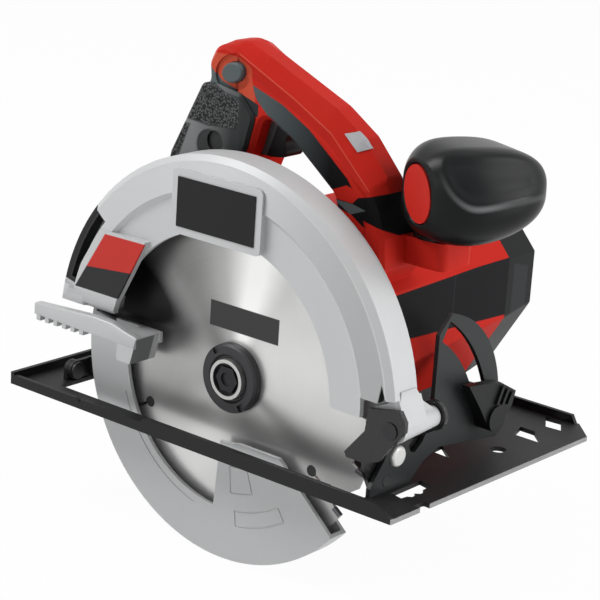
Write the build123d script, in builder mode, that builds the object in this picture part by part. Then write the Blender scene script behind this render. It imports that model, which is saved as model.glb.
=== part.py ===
from build123d import *
import math
import os

# Sidewinder circular saw, millimetres. +X is the cutting direction, +Y the motor side, +Z up.
# The model is drawn from a point on the sole, under the arbor, in the joint face of guard and motor.
# The finished pieces move so that the origin lies on the sole itself, to the left of the blade slot.

# Blade and arbor
BLADE_RADIUS = 92.0
BLADE_THICKNESS = 1.8
BLADE_TEETH = 20
GULLET_DEPTH = 9.0
SLOT_HOLE_RADIUS = 3.0
SLOT_PITCH_RADIUS = 65.0
SLOT_WIDTH = 1.4
SLOT_START_ANGLE = -33.0
SLOT_SPREAD = 120.0
BLADE_Y = -10.0
ARBOR_HEIGHT = 36.0
ARBOR_RADIUS = 7.9
FLANGE_RADIUS = 18.4
FLANGE_THICKNESS = 5.0
BOLT_HEX = 13.0
BOLT_SHANK_RADIUS = 4.0
BOLT_RING = 4.4

# Gear train
GEAR_MODULE = 1.25
GEAR_TEETH = 41
PINION_TEETH = 9
GEAR_WIDTH = 12.0
GEAR_Y = 14.0
MOTOR_ANGLE = 62.0
BACKLASH = 0.35

# Motor
ARMATURE_RADIUS = 24.0
BRUSH_ROOM = 22.0
ARMATURE_Y = 56.0
STATOR_RADIUS = 39.0
AIR_GAP = 1.0
COMMUTATOR_RADIUS = 14.0
FAN_RADIUS = 36.0
FAN_BLADES = 12
MOTOR_SHAFT_RADIUS = 5.0
HOUSING_LENGTH = 125.0
END_CAP_LENGTH = 27.0
GEAR_PLATE_Y = 33.0
GEAR_PLATE_THICKNESS = 6.0

# Guards
UPPER_RADIUS = 114.6
UPPER_CENTRE_X = -1.5
UPPER_CENTRE_RISE = 2.5
UPPER_FRONT_Y = -26.3
UPPER_RIM_BACK_Y = -6.5
UPPER_WALL = 3.3
UPPER_STEP_RADIUS = 96.5
UPPER_OPENING_RADIUS = 75.0
UPPER_BACK_THICKNESS = 2.0
GUARD_REAR_END_Z = 54.0
GUARD_FRONT_END_Z = 43.0
LOWER_RADIUS = 98.4
LOWER_WALL = 2.2
LOWER_FRONT_Y = -16.5
LOWER_BACK_Y = -4.0
LOWER_FLANGE_INNER = 71.0
LOWER_SECTOR_INNER = 34.0
LOWER_START_ANGLE = 150.0
LOWER_FLANGE_START = 172.0
LOWER_SECTOR_ANGLE = 266.0
LOWER_SECTOR_TOP = 3.5
LOWER_END_ANGLE = 319.0
HUB_RADIUS = 22.0
HUB_RING = 9.0
LEVER_Z = 43.0
LEVER_HEIGHT = 6.0
LEVER_REACH = 124.0
LEVER_RIDGES = 6
ENGRAVED = 0.5
FRAMES = [(46.0, 61.0, 276.0, 291.0), (70.0, 79.0, 278.0, 304.0)]
LABEL_LOW = (-30.0, 113.0)
LABEL_HIGH = (22.0, 139.0)
LABEL_BORDER = 4.0
LABEL_THICKNESS = 0.6
PLATEAU_RISE = 1.5
DUST_RADIUS = 103.0
DUST_ANGLES = (141.0, 167.0)
DUST_RECESS = 3.6

# Shoe, depth and bevel
SHOE_REAR_X = -140.0
SHOE_FRONT_X = 124.0
SHOE_RIGHT_Y = -35.5
SHOE_LEFT_Y = 151.0
SHOE_CORNER = 14.0
SHEET = 2.5
SHOE_FLANGE = 8.0
BLADE_SLOT_RIGHT = -21.5
BLADE_SLOT_LEFT = 7.0
BLADE_SLOT_REAR = -116.0
BLADE_SLOT_FRONT = 92.0
PIVOT_X = 109.8
PIVOT_Z = 40.6
LUG_RADIUS = 7.2
LUG_TIP_RADIUS = 5.4
PIN_RADIUS = 3.0
BEVEL_Y = -8.0
BEVEL_Z = 8.0
BEVEL_MAX = 45.0
BEVEL_ARC_RADIUS = 80.0
BEVEL_BOLT_ANGLE = 12.0
BEVEL_SLOT_HALF = 5.5
DEPTH_MAX = 20.0
DEPTH_BOLT_X = -83.0
DEPTH_BOLT_Z = 50.0
WEB_X = 94.0
SHEET_GAP = 0.5

# Handle and knob
HANDLE_Y = 25.0
HANDLE_HALF_WIDTH = 16.5
GRIP_SKIN = 2.2
KNOB_CENTRE = (102.0, 41.0, 149.0)
KNOB_NEAR = -32.5
KNOB_TURN = -21.0
KNOB_CAP_WIDTH = 11.5
KNOB_CAP_HEIGHT = 14.5
KNOB_CAP_LEAN = 22.0
CROWN_DEPTH = 11.0
HANDLE_CHAMFER = 2.2
TRIGGER_TRAVEL = 6.0
BUTTON_TRAVEL = 3.0
LOCK_TRAVEL = 4.0

# Screws
CAP_SCREWS = [(-27, 88), (-27, 45), (57, 87), (46, 33)]
GUARD_SCREWS = [(45, 92), (-24, 97), (54, 54), (-33, 57)]
GUARD_SCREW_RADIUS = 2.4

# Place of the finished origin, left of the joint face
DATUM_Y = 60.0

# Fits
RUNNING = 0.05
CLEAR = 0.3

# Values worked out from the sizes above
GEAR_DISTANCE = GEAR_MODULE * (GEAR_TEETH + PINION_TEETH) / 2
MOTOR_X = GEAR_DISTANCE * math.cos(math.radians(MOTOR_ANGLE))
MOTOR_Z = ARBOR_HEIGHT + GEAR_DISTANCE * math.sin(math.radians(MOTOR_ANGLE))
GEAR_TIP = GEAR_MODULE * (GEAR_TEETH / 2 + 1)
PINION_TIP = GEAR_MODULE * (PINION_TEETH / 2 + 1)
GEAR_ROOM = GEAR_TIP + 2.0
MOTOR_ROOM = STATOR_RADIUS + 1.5
BLADE_FRONT = BLADE_Y - BLADE_THICKNESS / 2
BLADE_BACK = BLADE_Y + BLADE_THICKNESS / 2
UPPER_Z = ARBOR_HEIGHT + UPPER_CENTRE_RISE
QUADRANT_X = WEB_X + SHEET + SHEET_GAP
FLOOR = SHEET
ARMATURE_LENGTH = HOUSING_LENGTH - ARMATURE_Y - BRUSH_ROOM
HANDLE_RIGHT_Y = HANDLE_Y - HANDLE_HALF_WIDTH
HANDLE_LEFT_Y = HANDLE_Y + HANDLE_HALF_WIDTH

os.makedirs("parts", exist_ok=True)


def save(part, name):
    """Moves a finished piece to the sole's origin, labels it and writes it under its own name."""
    placed = part.moved(Location((0, -DATUM_Y, 0)))
    placed.label = name
    export_step(placed, f"parts/{name}.step")


def side(y, x=0.0, z=0.0):
    """Plane at depth y whose axes run along X and Z; it extrudes towards the blade side."""
    return Plane(origin=(x, y, z), x_dir=(1, 0, 0), z_dir=(0, -1, 0))


def facing(x, y=0.0, z=0.0):
    """Plane at x whose axes run along Y and Z; it extrudes forwards."""
    return Plane(origin=(x, y, z), x_dir=(0, 1, 0), z_dir=(1, 0, 0))


def polar(radius, angle):
    """Point at a radius and an angle in degrees."""
    return (radius * math.cos(math.radians(angle)), radius * math.sin(math.radians(angle)))


def outline(points, plane):
    """Flat face with straight edges through the points."""
    with BuildSketch(plane) as shape:
        with BuildLine():
            Polyline(*points, close=True)
        make_face()
    return shape.sketch


def soft_outline(points, radii, plane):
    """Flat face whose corners are rounded, each by its own radius."""
    with BuildSketch(plane) as shape:
        with BuildLine():
            FilletPolyline(*points, radius=radii, close=True)
        make_face()
    return shape.sketch


def disc(radius, plane, at=(0.0, 0.0)):
    """Round flat face."""
    with BuildSketch(plane) as shape:
        with Locations(at):
            Circle(radius)
    return shape.sketch


def sector(inner, outer, start, end, plane):
    """Flat ring sector between two radii and two angles."""
    with BuildSketch(plane) as shape:
        with BuildLine():
            rim = CenterArc((0, 0), outer, start, end - start)
            across = Line(rim @ 1, polar(inner, end))
            back = CenterArc((0, 0), inner, end, start - end)
            Line(back @ 1, rim @ 0)
        make_face()
    return shape.sketch


def turned(points, x, z):
    """Body of revolution about a line along Y through (x, z); the points are (radius, y)."""
    with BuildPart() as body:
        with BuildSketch(Plane(origin=(x, 0, z))):
            with BuildLine():
                Polyline(*points, close=True)
            make_face()
        revolve(axis=Axis((x, 0, z), (0, 1, 0)))
    return body.part


def bearing(bore, outer, y, width, x, z):
    """Sealed ball bearing: two races with a shallow groove for the shield on each face."""
    step = (outer - bore) * 0.3
    dish = 0.6
    profile = [
        (bore, y), (bore + step, y), (bore + step, y + dish), (outer - step, y + dish), (outer - step, y),
        (outer, y), (outer, y + width), (outer - step, y + width), (outer - step, y + width - dish),
        (bore + step, y + width - dish), (bore + step, y + width), (bore, y + width),
    ]
    return turned(profile, x, z)


def gear_face(teeth, turn, plane):
    """Spur gear outline with straight-flanked teeth, thinned by the backlash."""
    pitch = GEAR_MODULE * teeth / 2
    root = pitch - 1.2 * GEAR_MODULE
    tip = pitch + 0.92 * GEAR_MODULE
    half = 90.0 / teeth - math.degrees(BACKLASH / pitch) / 2
    lean = math.degrees(0.36 * GEAR_MODULE)
    flanks = []
    for tooth in range(teeth):
        middle = turn + tooth * 360.0 / teeth
        root_half = half + lean * 1.2 * GEAR_MODULE / root
        tip_half = max(half - lean * 0.92 * GEAR_MODULE / tip, 0.2 * half)
        flanks.append(polar(root, middle - root_half))
        flanks.append(polar(pitch, middle - half))
        flanks.append(polar(tip, middle - tip_half))
        flanks.append(polar(tip, middle + tip_half))
        flanks.append(polar(pitch, middle + half))
        flanks.append(polar(root, middle + root_half))
    return outline(flanks, plane)


# Blade
gullet = [
    polar(BLADE_RADIUS + 5, -0.3), polar(BLADE_RADIUS, 0), polar(BLADE_RADIUS - GULLET_DEPTH, 1.2),
    polar(BLADE_RADIUS - GULLET_DEPTH, 6.5), polar(BLADE_RADIUS - GULLET_DEPTH / 2, 8.0),
    polar(BLADE_RADIUS + 5, 17.0),
]
with BuildPart() as blade:
    with BuildSketch(side(BLADE_BACK, z=ARBOR_HEIGHT)):
        Circle(BLADE_RADIUS)
        Circle(ARBOR_RADIUS + RUNNING, mode=Mode.SUBTRACT)
        with PolarLocations(0, BLADE_TEETH):
            Polygon(*gullet, align=None, mode=Mode.SUBTRACT)
        with PolarLocations(SLOT_PITCH_RADIUS, 2, start_angle=SLOT_START_ANGLE,
            angular_range=-2 * SLOT_SPREAD):
            Circle(SLOT_HOLE_RADIUS, mode=Mode.SUBTRACT)
            Rectangle(BLADE_RADIUS, SLOT_WIDTH, align=(Align.MIN, Align.CENTER), mode=Mode.SUBTRACT)
    extrude(amount=BLADE_THICKNESS)
save(blade.part, "blade")

# Flanges, arbor and bolt
inner_flange_back = BLADE_BACK + 4.0
shaft_end = BLADE_FRONT - 2.5
save(turned([
    (ARBOR_RADIUS + RUNNING, BLADE_BACK), (13.0, BLADE_BACK), (13.0, BLADE_BACK + 0.8),
    (15.0, BLADE_BACK + 0.8),
    (15.0, BLADE_BACK), (FLANGE_RADIUS - 0.4, BLADE_BACK), (FLANGE_RADIUS - 0.4, inner_flange_back),
    (ARBOR_RADIUS + RUNNING, inner_flange_back),
], 0, ARBOR_HEIGHT), "inner_flange")

flange_front = BLADE_FRONT - FLANGE_THICKNESS
outer_ring = turned([
    (ARBOR_RADIUS + RUNNING, BLADE_FRONT), (FLANGE_RADIUS, BLADE_FRONT), (FLANGE_RADIUS, flange_front + 1.2),
    (FLANGE_RADIUS - 1.2, flange_front), (13.0, flange_front), (12.0, flange_front + 1.4),
    (11.0, flange_front + 1.4), (11.0, shaft_end), (ARBOR_RADIUS + RUNNING, shaft_end),
], 0, ARBOR_HEIGHT)
with BuildPart() as outer_flange:
    add(outer_ring)
    with BuildSketch(side(flange_front + 1.5, z=ARBOR_HEIGHT)):
        with PolarLocations(FLANGE_RADIUS - 1.5, 2, start_angle=125):
            Rectangle(4.5, 4.0)
    extrude(amount=3.0, mode=Mode.SUBTRACT)
save(outer_flange.part, "outer_flange")

with BuildPart() as blade_bolt:
    extrude(disc(10.7, side(shaft_end, z=ARBOR_HEIGHT)), amount=BOLT_RING)
    extrude(disc(8.6, side(shaft_end - BOLT_RING + 2.6, z=ARBOR_HEIGHT)), amount=2.6, mode=Mode.SUBTRACT)
    with BuildSketch(side(shaft_end - 1, z=ARBOR_HEIGHT)):
        RegularPolygon(BOLT_HEX / 2, 6, major_radius=False)
    extrude(amount=BOLT_RING - 1.6)
    extrude(disc(BOLT_SHANK_RADIUS - RUNNING, side(shaft_end + 16, z=ARBOR_HEIGHT)), amount=16)
    extrude(disc(3.6, side(shaft_end - BOLT_RING + 1.8, z=ARBOR_HEIGHT)), amount=2, mode=Mode.SUBTRACT)
save(blade_bolt.part, "blade_bolt")

GEAR_BACK = GEAR_Y + GEAR_WIDTH
SHAFT_BACK = GEAR_PLATE_Y + GEAR_PLATE_THICKNESS - 1.5
arbor = turned([
    (BOLT_SHANK_RADIUS, shaft_end), (ARBOR_RADIUS, shaft_end), (ARBOR_RADIUS, inner_flange_back),
    (8.5, inner_flange_back), (8.5, 12.0),
    (10.0, 12.0), (10.0, GEAR_Y), (9.0, GEAR_Y), (9.0, GEAR_BACK + 2), (6.0, GEAR_BACK + 2),
    (6.0, SHAFT_BACK),
    (0.0, SHAFT_BACK), (0.0, 4.0), (BOLT_SHANK_RADIUS, 4.0),
], 0, ARBOR_HEIGHT)
save(arbor, "arbor_shaft")

with BuildPart() as output_gear:
    extrude(gear_face(GEAR_TEETH, MOTOR_ANGLE + 180.0 / GEAR_TEETH, side(GEAR_BACK, z=ARBOR_HEIGHT)),
        amount=GEAR_WIDTH)
    extrude(disc(9.0 + RUNNING, side(GEAR_BACK, z=ARBOR_HEIGHT)), amount=GEAR_WIDTH, mode=Mode.SUBTRACT)
    with BuildSketch(side(GEAR_BACK, z=ARBOR_HEIGHT)):
        Circle(GEAR_TIP - 6)
        Circle(13, mode=Mode.SUBTRACT)
    extrude(amount=3, mode=Mode.SUBTRACT)
save(output_gear.part, "output_gear")

save(bearing(8.5 + RUNNING, 17.5, 0.5, 11.0, 0, ARBOR_HEIGHT), "arbor_front_bearing")
save(bearing(6.0 + RUNNING, 14.0, GEAR_PLATE_Y, GEAR_PLATE_THICKNESS - 1.2, 0, ARBOR_HEIGHT),
    "arbor_rear_bearing")

# Armature, fan, stator and brushes
COMMUTATOR_Y = ARMATURE_Y + ARMATURE_LENGTH + 5.0
REAR_BEARING_Y = HOUSING_LENGTH + 8.0
SHAFT_TIP = GEAR_Y - 1.0
with BuildPart() as armature_shaft:
    extrude(gear_face(PINION_TEETH, MOTOR_ANGLE + 180, side(GEAR_BACK + 1, MOTOR_X, MOTOR_Z)),
        amount=GEAR_WIDTH + 2)
    extrude(disc(MOTOR_SHAFT_RADIUS, side(REAR_BEARING_Y + 6, MOTOR_X, MOTOR_Z)),
        amount=REAR_BEARING_Y + 5 - GEAR_BACK)
save(armature_shaft.part, "armature_shaft")

with BuildPart() as armature_core:
    with BuildSketch(side(ARMATURE_Y + ARMATURE_LENGTH, MOTOR_X, MOTOR_Z)):
        Circle(ARMATURE_RADIUS)
        Circle(MOTOR_SHAFT_RADIUS + RUNNING, mode=Mode.SUBTRACT)
        with PolarLocations(ARMATURE_RADIUS, 12):
            Rectangle(12, 3, mode=Mode.SUBTRACT)
    extrude(amount=ARMATURE_LENGTH)
save(armature_core.part, "armature_core")

save(turned([
    (MOTOR_SHAFT_RADIUS + RUNNING, COMMUTATOR_Y), (COMMUTATOR_RADIUS, COMMUTATOR_Y),
    (COMMUTATOR_RADIUS, COMMUTATOR_Y + 12), (MOTOR_SHAFT_RADIUS + RUNNING, COMMUTATOR_Y + 12),
], MOTOR_X, MOTOR_Z), "commutator")

FAN_Y = GEAR_PLATE_Y + GEAR_PLATE_THICKNESS + 2.0
with BuildPart() as motor_fan:
    with BuildSketch(side(FAN_Y + 2, MOTOR_X, MOTOR_Z)):
        Circle(FAN_RADIUS)
        Circle(MOTOR_SHAFT_RADIUS + RUNNING, mode=Mode.SUBTRACT)
    extrude(amount=2)
    with BuildSketch(side(FAN_Y + 8, MOTOR_X, MOTOR_Z)):
        Circle(10)
        with PolarLocations(FAN_RADIUS * 0.68, FAN_BLADES):
            Rectangle(FAN_RADIUS * 0.6, 2)
        Circle(MOTOR_SHAFT_RADIUS + RUNNING, mode=Mode.SUBTRACT)
    extrude(amount=7)
save(motor_fan.part, "motor_fan")

STATOR_Y = ARMATURE_Y - 4.0
with BuildPart() as stator:
    with BuildSketch(side(STATOR_Y + ARMATURE_LENGTH + 8, MOTOR_X, MOTOR_Z)):
        Circle(STATOR_RADIUS)
        Circle(ARMATURE_RADIUS + AIR_GAP, mode=Mode.SUBTRACT)
        with PolarLocations(ARMATURE_RADIUS + AIR_GAP, 2, start_angle=90):
            Rectangle(10, 22, mode=Mode.SUBTRACT)
    extrude(amount=ARMATURE_LENGTH + 8)
save(stator.part, "stator")

BRUSH_Y = COMMUTATOR_Y + 6.0
with BuildPart() as brushes:
    with BuildSketch(side(BRUSH_Y + 3, MOTOR_X, MOTOR_Z)):
        with PolarLocations(COMMUTATOR_RADIUS + CLEAR + 7, 2):
            Rectangle(14, 8)
    extrude(amount=6)
save(brushes.part, "brushes")
with BuildPart() as brush_holders:
    with BuildSketch(side(BRUSH_Y + 5, MOTOR_X, MOTOR_Z)):
        with PolarLocations(COMMUTATOR_RADIUS + 14, 2):
            Rectangle(22, 13)
    extrude(amount=10)
    with BuildSketch(side(BRUSH_Y + 3.05, MOTOR_X, MOTOR_Z)):
        with PolarLocations(COMMUTATOR_RADIUS + 10, 2):
            Rectangle(26, 8.1)
    extrude(amount=6.1, mode=Mode.SUBTRACT)
save(brush_holders.part, "brush_holders")

save(bearing(MOTOR_SHAFT_RADIUS + RUNNING, 12.0, GEAR_PLATE_Y, GEAR_PLATE_THICKNESS, MOTOR_X, MOTOR_Z),
     "armature_front_bearing")
save(bearing(MOTOR_SHAFT_RADIUS + RUNNING, 11.0, REAR_BEARING_Y - 1, 7.0, MOTOR_X, MOTOR_Z),
    "armature_rear_bearing")

with BuildPart() as gear_plate:
    plate_back = GEAR_PLATE_Y + GEAR_PLATE_THICKNESS
    extrude(disc(GEAR_ROOM - 0.2, side(plate_back, z=ARBOR_HEIGHT)), amount=GEAR_PLATE_THICKNESS)
    extrude(disc(MOTOR_ROOM - 0.2, side(plate_back, MOTOR_X, MOTOR_Z)), amount=GEAR_PLATE_THICKNESS)
    extrude(disc(14.0 + 0.02, side(plate_back - 1.0, z=ARBOR_HEIGHT)), amount=GEAR_PLATE_THICKNESS,
        mode=Mode.SUBTRACT)
    extrude(disc(12.0 + 0.02, side(plate_back, MOTOR_X, MOTOR_Z)), amount=GEAR_PLATE_THICKNESS,
        mode=Mode.SUBTRACT)
save(gear_plate.part, "gear_plate")

# Upper guard: a turned shell cut open below, with a bearing cup, pivot lug and raised fields
UPPER_INNER = UPPER_RADIUS - UPPER_WALL
guard_shell = turned([
    (UPPER_OPENING_RADIUS, UPPER_FRONT_Y + 2.3), (UPPER_STEP_RADIUS - 2.5, UPPER_FRONT_Y + 2.3),
    (UPPER_STEP_RADIUS, UPPER_FRONT_Y), (UPPER_RADIUS - 3.6, UPPER_FRONT_Y),
    (UPPER_RADIUS, UPPER_FRONT_Y + 3.6),
    (UPPER_RADIUS, UPPER_RIM_BACK_Y), (UPPER_RADIUS - 4, UPPER_RIM_BACK_Y + 2.5), (UPPER_RADIUS - 4, 0.0),
    (HUB_RADIUS + 13, 0.0), (HUB_RADIUS + 13, -UPPER_BACK_THICKNESS),
    (UPPER_INNER - 4, -UPPER_BACK_THICKNESS), (UPPER_INNER, UPPER_RIM_BACK_Y),
    (UPPER_INNER, UPPER_FRONT_Y + 5.3),
    (UPPER_OPENING_RADIUS, UPPER_FRONT_Y + 5.3),
], UPPER_CENTRE_X, UPPER_Z)
far = 2 * UPPER_RADIUS
below = [
    (-far, GUARD_REAR_END_Z), (-50, GUARD_REAR_END_Z), (-36, 10), (36, 10), (58, GUARD_FRONT_END_Z),
    (far, GUARD_FRONT_END_Z), (far, -far), (-far, -far),
]
lug_web = [
    (97, GUARD_FRONT_END_Z + 6), (UPPER_RADIUS - 3, GUARD_FRONT_END_Z + 13),
    (PIVOT_X + LUG_RADIUS * 0.98, PIVOT_Z + 2.5),
    (PIVOT_X, PIVOT_Z - 2), (PIVOT_X - LUG_RADIUS * 0.7, PIVOT_Z + 4),
]
ear_room = [(92, 0), (92, 54), (103.5, 54), (105.5, 64), (108.5, 56), (130, 56), (130, 0)]
EAR_ROOM_Y = -19.2
LUG_RIGHT_Y = -19.5
LUG_LEFT_Y = 11.5
LUG_SLOPE_X = 104.5
LUG_SLOPE_WIDTH = 7.5
lug_slope = [
    (LUG_RIGHT_Y + 1, 60), (-7, 60), (0, PIVOT_Z + 11), (LUG_LEFT_Y - 0.5, PIVOT_Z + 4),
    (LUG_LEFT_Y - 0.5, PIVOT_Z - 2),
    (LUG_RIGHT_Y + 1, PIVOT_Z - 2),
]
lug = turned([
    (PIN_RADIUS, LUG_RIGHT_Y), (LUG_RADIUS, LUG_RIGHT_Y), (LUG_TIP_RADIUS, LUG_LEFT_Y),
    (PIN_RADIUS, LUG_LEFT_Y),
], PIVOT_X, PIVOT_Z)
badge = [(-109.8, GUARD_REAR_END_Z + 2), (-73.6, GUARD_REAR_END_Z + 2), (-51, 99), (-84, 99)]
with BuildPart() as upper_guard:
    add(guard_shell)
    extrude(outline(below, side(10)), amount=60, mode=Mode.SUBTRACT)
    extrude(disc(HUB_RADIUS + 10, side(0, z=ARBOR_HEIGHT)), amount=UPPER_BACK_THICKNESS)
    extrude(outline([(36, 10), (58, GUARD_FRONT_END_Z), (62, 70), (20, 70)], side(0)),
        amount=UPPER_BACK_THICKNESS)
    extrude(outline(ear_room, side(EAR_ROOM_Y)), amount=20, mode=Mode.SUBTRACT)
    extrude(disc(HUB_RADIUS, side(0, z=ARBOR_HEIGHT)), amount=-LOWER_BACK_Y + LOWER_WALL + CLEAR)
    extrude(disc(21.0, side(12.5, z=ARBOR_HEIGHT)), amount=12.5)
    extrude(outline(lug_web, side(-2.0)), amount=-2.0 - LUG_RIGHT_Y)
    extrude(outline([(70, 45), (74, 30), (94, 27), (99, 33), (100, 45)], side(0)),
        amount=UPPER_BACK_THICKNESS)
    extrude(outline(lug_slope, facing(LUG_SLOPE_X)), amount=LUG_SLOPE_WIDTH)
    add(lug)
    with BuildSketch(side(UPPER_FRONT_Y + 3)):
        with Locations(((LABEL_LOW[0] + LABEL_HIGH[0]) / 2, (LABEL_LOW[1] + LABEL_HIGH[1]) / 2)):
            RectangleRounded(LABEL_HIGH[0] - LABEL_LOW[0] + 2 * LABEL_BORDER,
                LABEL_HIGH[1] - LABEL_LOW[1] + 2 * LABEL_BORDER, 3)
    extrude(amount=3 + PLATEAU_RISE)
    extrude(outline(badge, side(UPPER_FRONT_Y + 3)), amount=3 + PLATEAU_RISE)
    extrude(outline([(-96, 40), (-70, 40), (-70, GUARD_REAR_END_Z + 4), (-96, GUARD_REAR_END_Z + 4)],
        side(0)),
            amount=UPPER_BACK_THICKNESS)
    extrude(disc(FLANGE_RADIUS + 0.6, side(-1.2, z=ARBOR_HEIGHT)), amount=20, mode=Mode.SUBTRACT)
    extrude(disc(17.5 + 0.02, side(13, z=ARBOR_HEIGHT)), amount=12.6, mode=Mode.SUBTRACT)
    extrude(disc(11.5, side(1, z=ARBOR_HEIGHT)), amount=3, mode=Mode.SUBTRACT)
    extrude(disc(PIN_RADIUS + RUNNING, side(LUG_LEFT_Y, PIVOT_X, PIVOT_Z)),
        amount=LUG_LEFT_Y - LUG_RIGHT_Y, mode=Mode.SUBTRACT)
    extrude(disc(PIN_RADIUS + RUNNING, side(0, DEPTH_BOLT_X, DEPTH_BOLT_Z)),
        amount=UPPER_BACK_THICKNESS, mode=Mode.SUBTRACT)
    dust_face = side(UPPER_FRONT_Y + DUST_RECESS, UPPER_CENTRE_X, UPPER_Z)
    extrude(sector(DUST_RADIUS, UPPER_RADIUS + 8, *DUST_ANGLES, dust_face), amount=20, mode=Mode.SUBTRACT)
    extrude(sector(DUST_RADIUS, UPPER_INNER - 0.8, DUST_ANGLES[0] + 2, DUST_ANGLES[1] - 2,
        dust_face.offset(-10)),
            amount=20, mode=Mode.SUBTRACT)
    ledge = [(UPPER_FRONT_Y - 10, GUARD_REAR_END_Z + 9), (UPPER_FRONT_Y - PLATEAU_RISE, GUARD_REAR_END_Z + 9),
             (UPPER_FRONT_Y + 1, GUARD_REAR_END_Z - 1), (UPPER_FRONT_Y - 10, GUARD_REAR_END_Z - 1)]
    extrude(outline(ledge, facing(-130)), amount=70, mode=Mode.SUBTRACT)
    with BuildSketch(side(0)):
        with Locations(*GUARD_SCREWS):
            Circle(GUARD_SCREW_RADIUS + RUNNING)
    extrude(amount=UPPER_BACK_THICKNESS, mode=Mode.SUBTRACT)
save(upper_guard.part, "upper_guard")

with BuildPart() as guard_plate:
    with BuildSketch(side(UPPER_FRONT_Y - PLATEAU_RISE)):
        with Locations(((LABEL_LOW[0] + LABEL_HIGH[0]) / 2, (LABEL_LOW[1] + LABEL_HIGH[1]) / 2)):
            Rectangle(LABEL_HIGH[0] - LABEL_LOW[0], LABEL_HIGH[1] - LABEL_LOW[1])
    extrude(amount=LABEL_THICKNESS)
save(guard_plate.part, "guard_plate")

# Lower guard with its lift lever
LEVER_FRONT_Y = UPPER_FRONT_Y - PLATEAU_RISE - LABEL_THICKNESS - 6.0
ARM_DEPTH = 5.0
with BuildPart() as lower_guard:
    rear = side(LOWER_BACK_Y, z=ARBOR_HEIGHT)
    front = side(LOWER_FRONT_Y + LOWER_WALL, z=ARBOR_HEIGHT)
    extrude(sector(HUB_RADIUS + 2, LOWER_RADIUS, LOWER_START_ANGLE, LOWER_END_ANGLE, rear), amount=LOWER_WALL)
    extrude(disc(HUB_RADIUS + HUB_RING, rear), amount=LOWER_WALL)
    extrude(sector(LOWER_RADIUS - LOWER_WALL, LOWER_RADIUS, LOWER_START_ANGLE, LOWER_END_ANGLE, rear),
            amount=LOWER_BACK_Y - LOWER_FRONT_Y)
    extrude(sector(LOWER_FLANGE_INNER, LOWER_RADIUS, LOWER_FLANGE_START, LOWER_SECTOR_ANGLE, front),
        amount=LOWER_WALL)
    extrude(sector(LOWER_SECTOR_INNER, LOWER_RADIUS, LOWER_SECTOR_ANGLE, LOWER_END_ANGLE, front),
        amount=LOWER_WALL)
    sector_top = [(-10, LOWER_SECTOR_TOP), (LOWER_RADIUS, LOWER_SECTOR_TOP), (LOWER_RADIUS, 60), (-10, 60)]
    extrude(outline(sector_top, side(LOWER_FRONT_Y + LOWER_WALL)), amount=LOWER_WALL, mode=Mode.SUBTRACT)
    extrude(disc(HUB_RADIUS + RUNNING, rear), amount=LOWER_WALL, mode=Mode.SUBTRACT)
    tongue = [(-80, LEVER_Z), (-48, LEVER_Z), (-48, LEVER_Z + LEVER_HEIGHT), (-80, LEVER_Z + LEVER_HEIGHT)]
    extrude(outline(tongue, side(LOWER_FRONT_Y + LOWER_WALL)), amount=LOWER_WALL)
    bridge = [(-62, LEVER_Z - 9), (-52, LEVER_Z - 9), (-48, LEVER_Z + LEVER_HEIGHT),
        (-62, LEVER_Z + LEVER_HEIGHT)]
    extrude(outline(bridge, side(LOWER_FRONT_Y + 1)), amount=LOWER_FRONT_Y + 1 - LEVER_FRONT_Y)
    arm = [(-LEVER_REACH, LEVER_Z + 1), (-48, LEVER_Z), (-48, LEVER_Z + LEVER_HEIGHT),
        (-LEVER_REACH, LEVER_Z + 4)]
    extrude(outline(arm, side(LEVER_FRONT_Y + ARM_DEPTH)), amount=ARM_DEPTH)
    with BuildSketch(side(LEVER_FRONT_Y + ARM_DEPTH)):
        for ridge in range(LEVER_RIDGES):
            with Locations((-LEVER_REACH + 3 + ridge * 6.5, LEVER_Z + 0.5)):
                Rectangle(3, 5)
    extrude(amount=ARM_DEPTH)
    skin = side(LOWER_FRONT_Y + ENGRAVED, z=ARBOR_HEIGHT)
    lip = LOWER_FLANGE_INNER + 4
    extrude(sector(lip, lip + 0.8, 200, 256, skin), amount=ENGRAVED, mode=Mode.SUBTRACT)
    for low, high, start, end in FRAMES:
        extrude(sector(low, high, start, end, skin), amount=ENGRAVED, mode=Mode.SUBTRACT)
        extrude(sector(low + 0.8, high - 0.8, start + 0.8, end - 0.8, skin), amount=ENGRAVED)
save(lower_guard.part, "lower_guard")

retainer_front = LOWER_BACK_Y - LOWER_WALL - CLEAR
with BuildPart() as guard_retainer:
    with BuildSketch(side(retainer_front, z=ARBOR_HEIGHT)):
        Circle(HUB_RADIUS + 3)
        Circle(FLANGE_RADIUS + 0.6, mode=Mode.SUBTRACT)
    extrude(amount=1.2)
save(guard_retainer.part, "guard_retainer")

# Flat spiral return spring between the lower guard and the casting
SPRING_THICKNESS = 1.2
SPRING_WIDTH = 1.2
SPRING_TURNS = 5
SPRING_GROWTH = 1.6
with BuildPart() as guard_spring:
    with BuildSketch(side((LOWER_BACK_Y - UPPER_BACK_THICKNESS + SPRING_WIDTH) / 2, z=ARBOR_HEIGHT)):
        with BuildLine() as coil:
            for turn in range(SPRING_TURNS):
                shift = SPRING_GROWTH * (turn % 2)
                CenterArc((shift, 0), HUB_RADIUS + 2 + SPRING_GROWTH * turn, 180 * (turn % 2), 180)
        trace(line_width=SPRING_THICKNESS)
    extrude(amount=SPRING_WIDTH)
save(guard_spring.part, "guard_spring")

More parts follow.
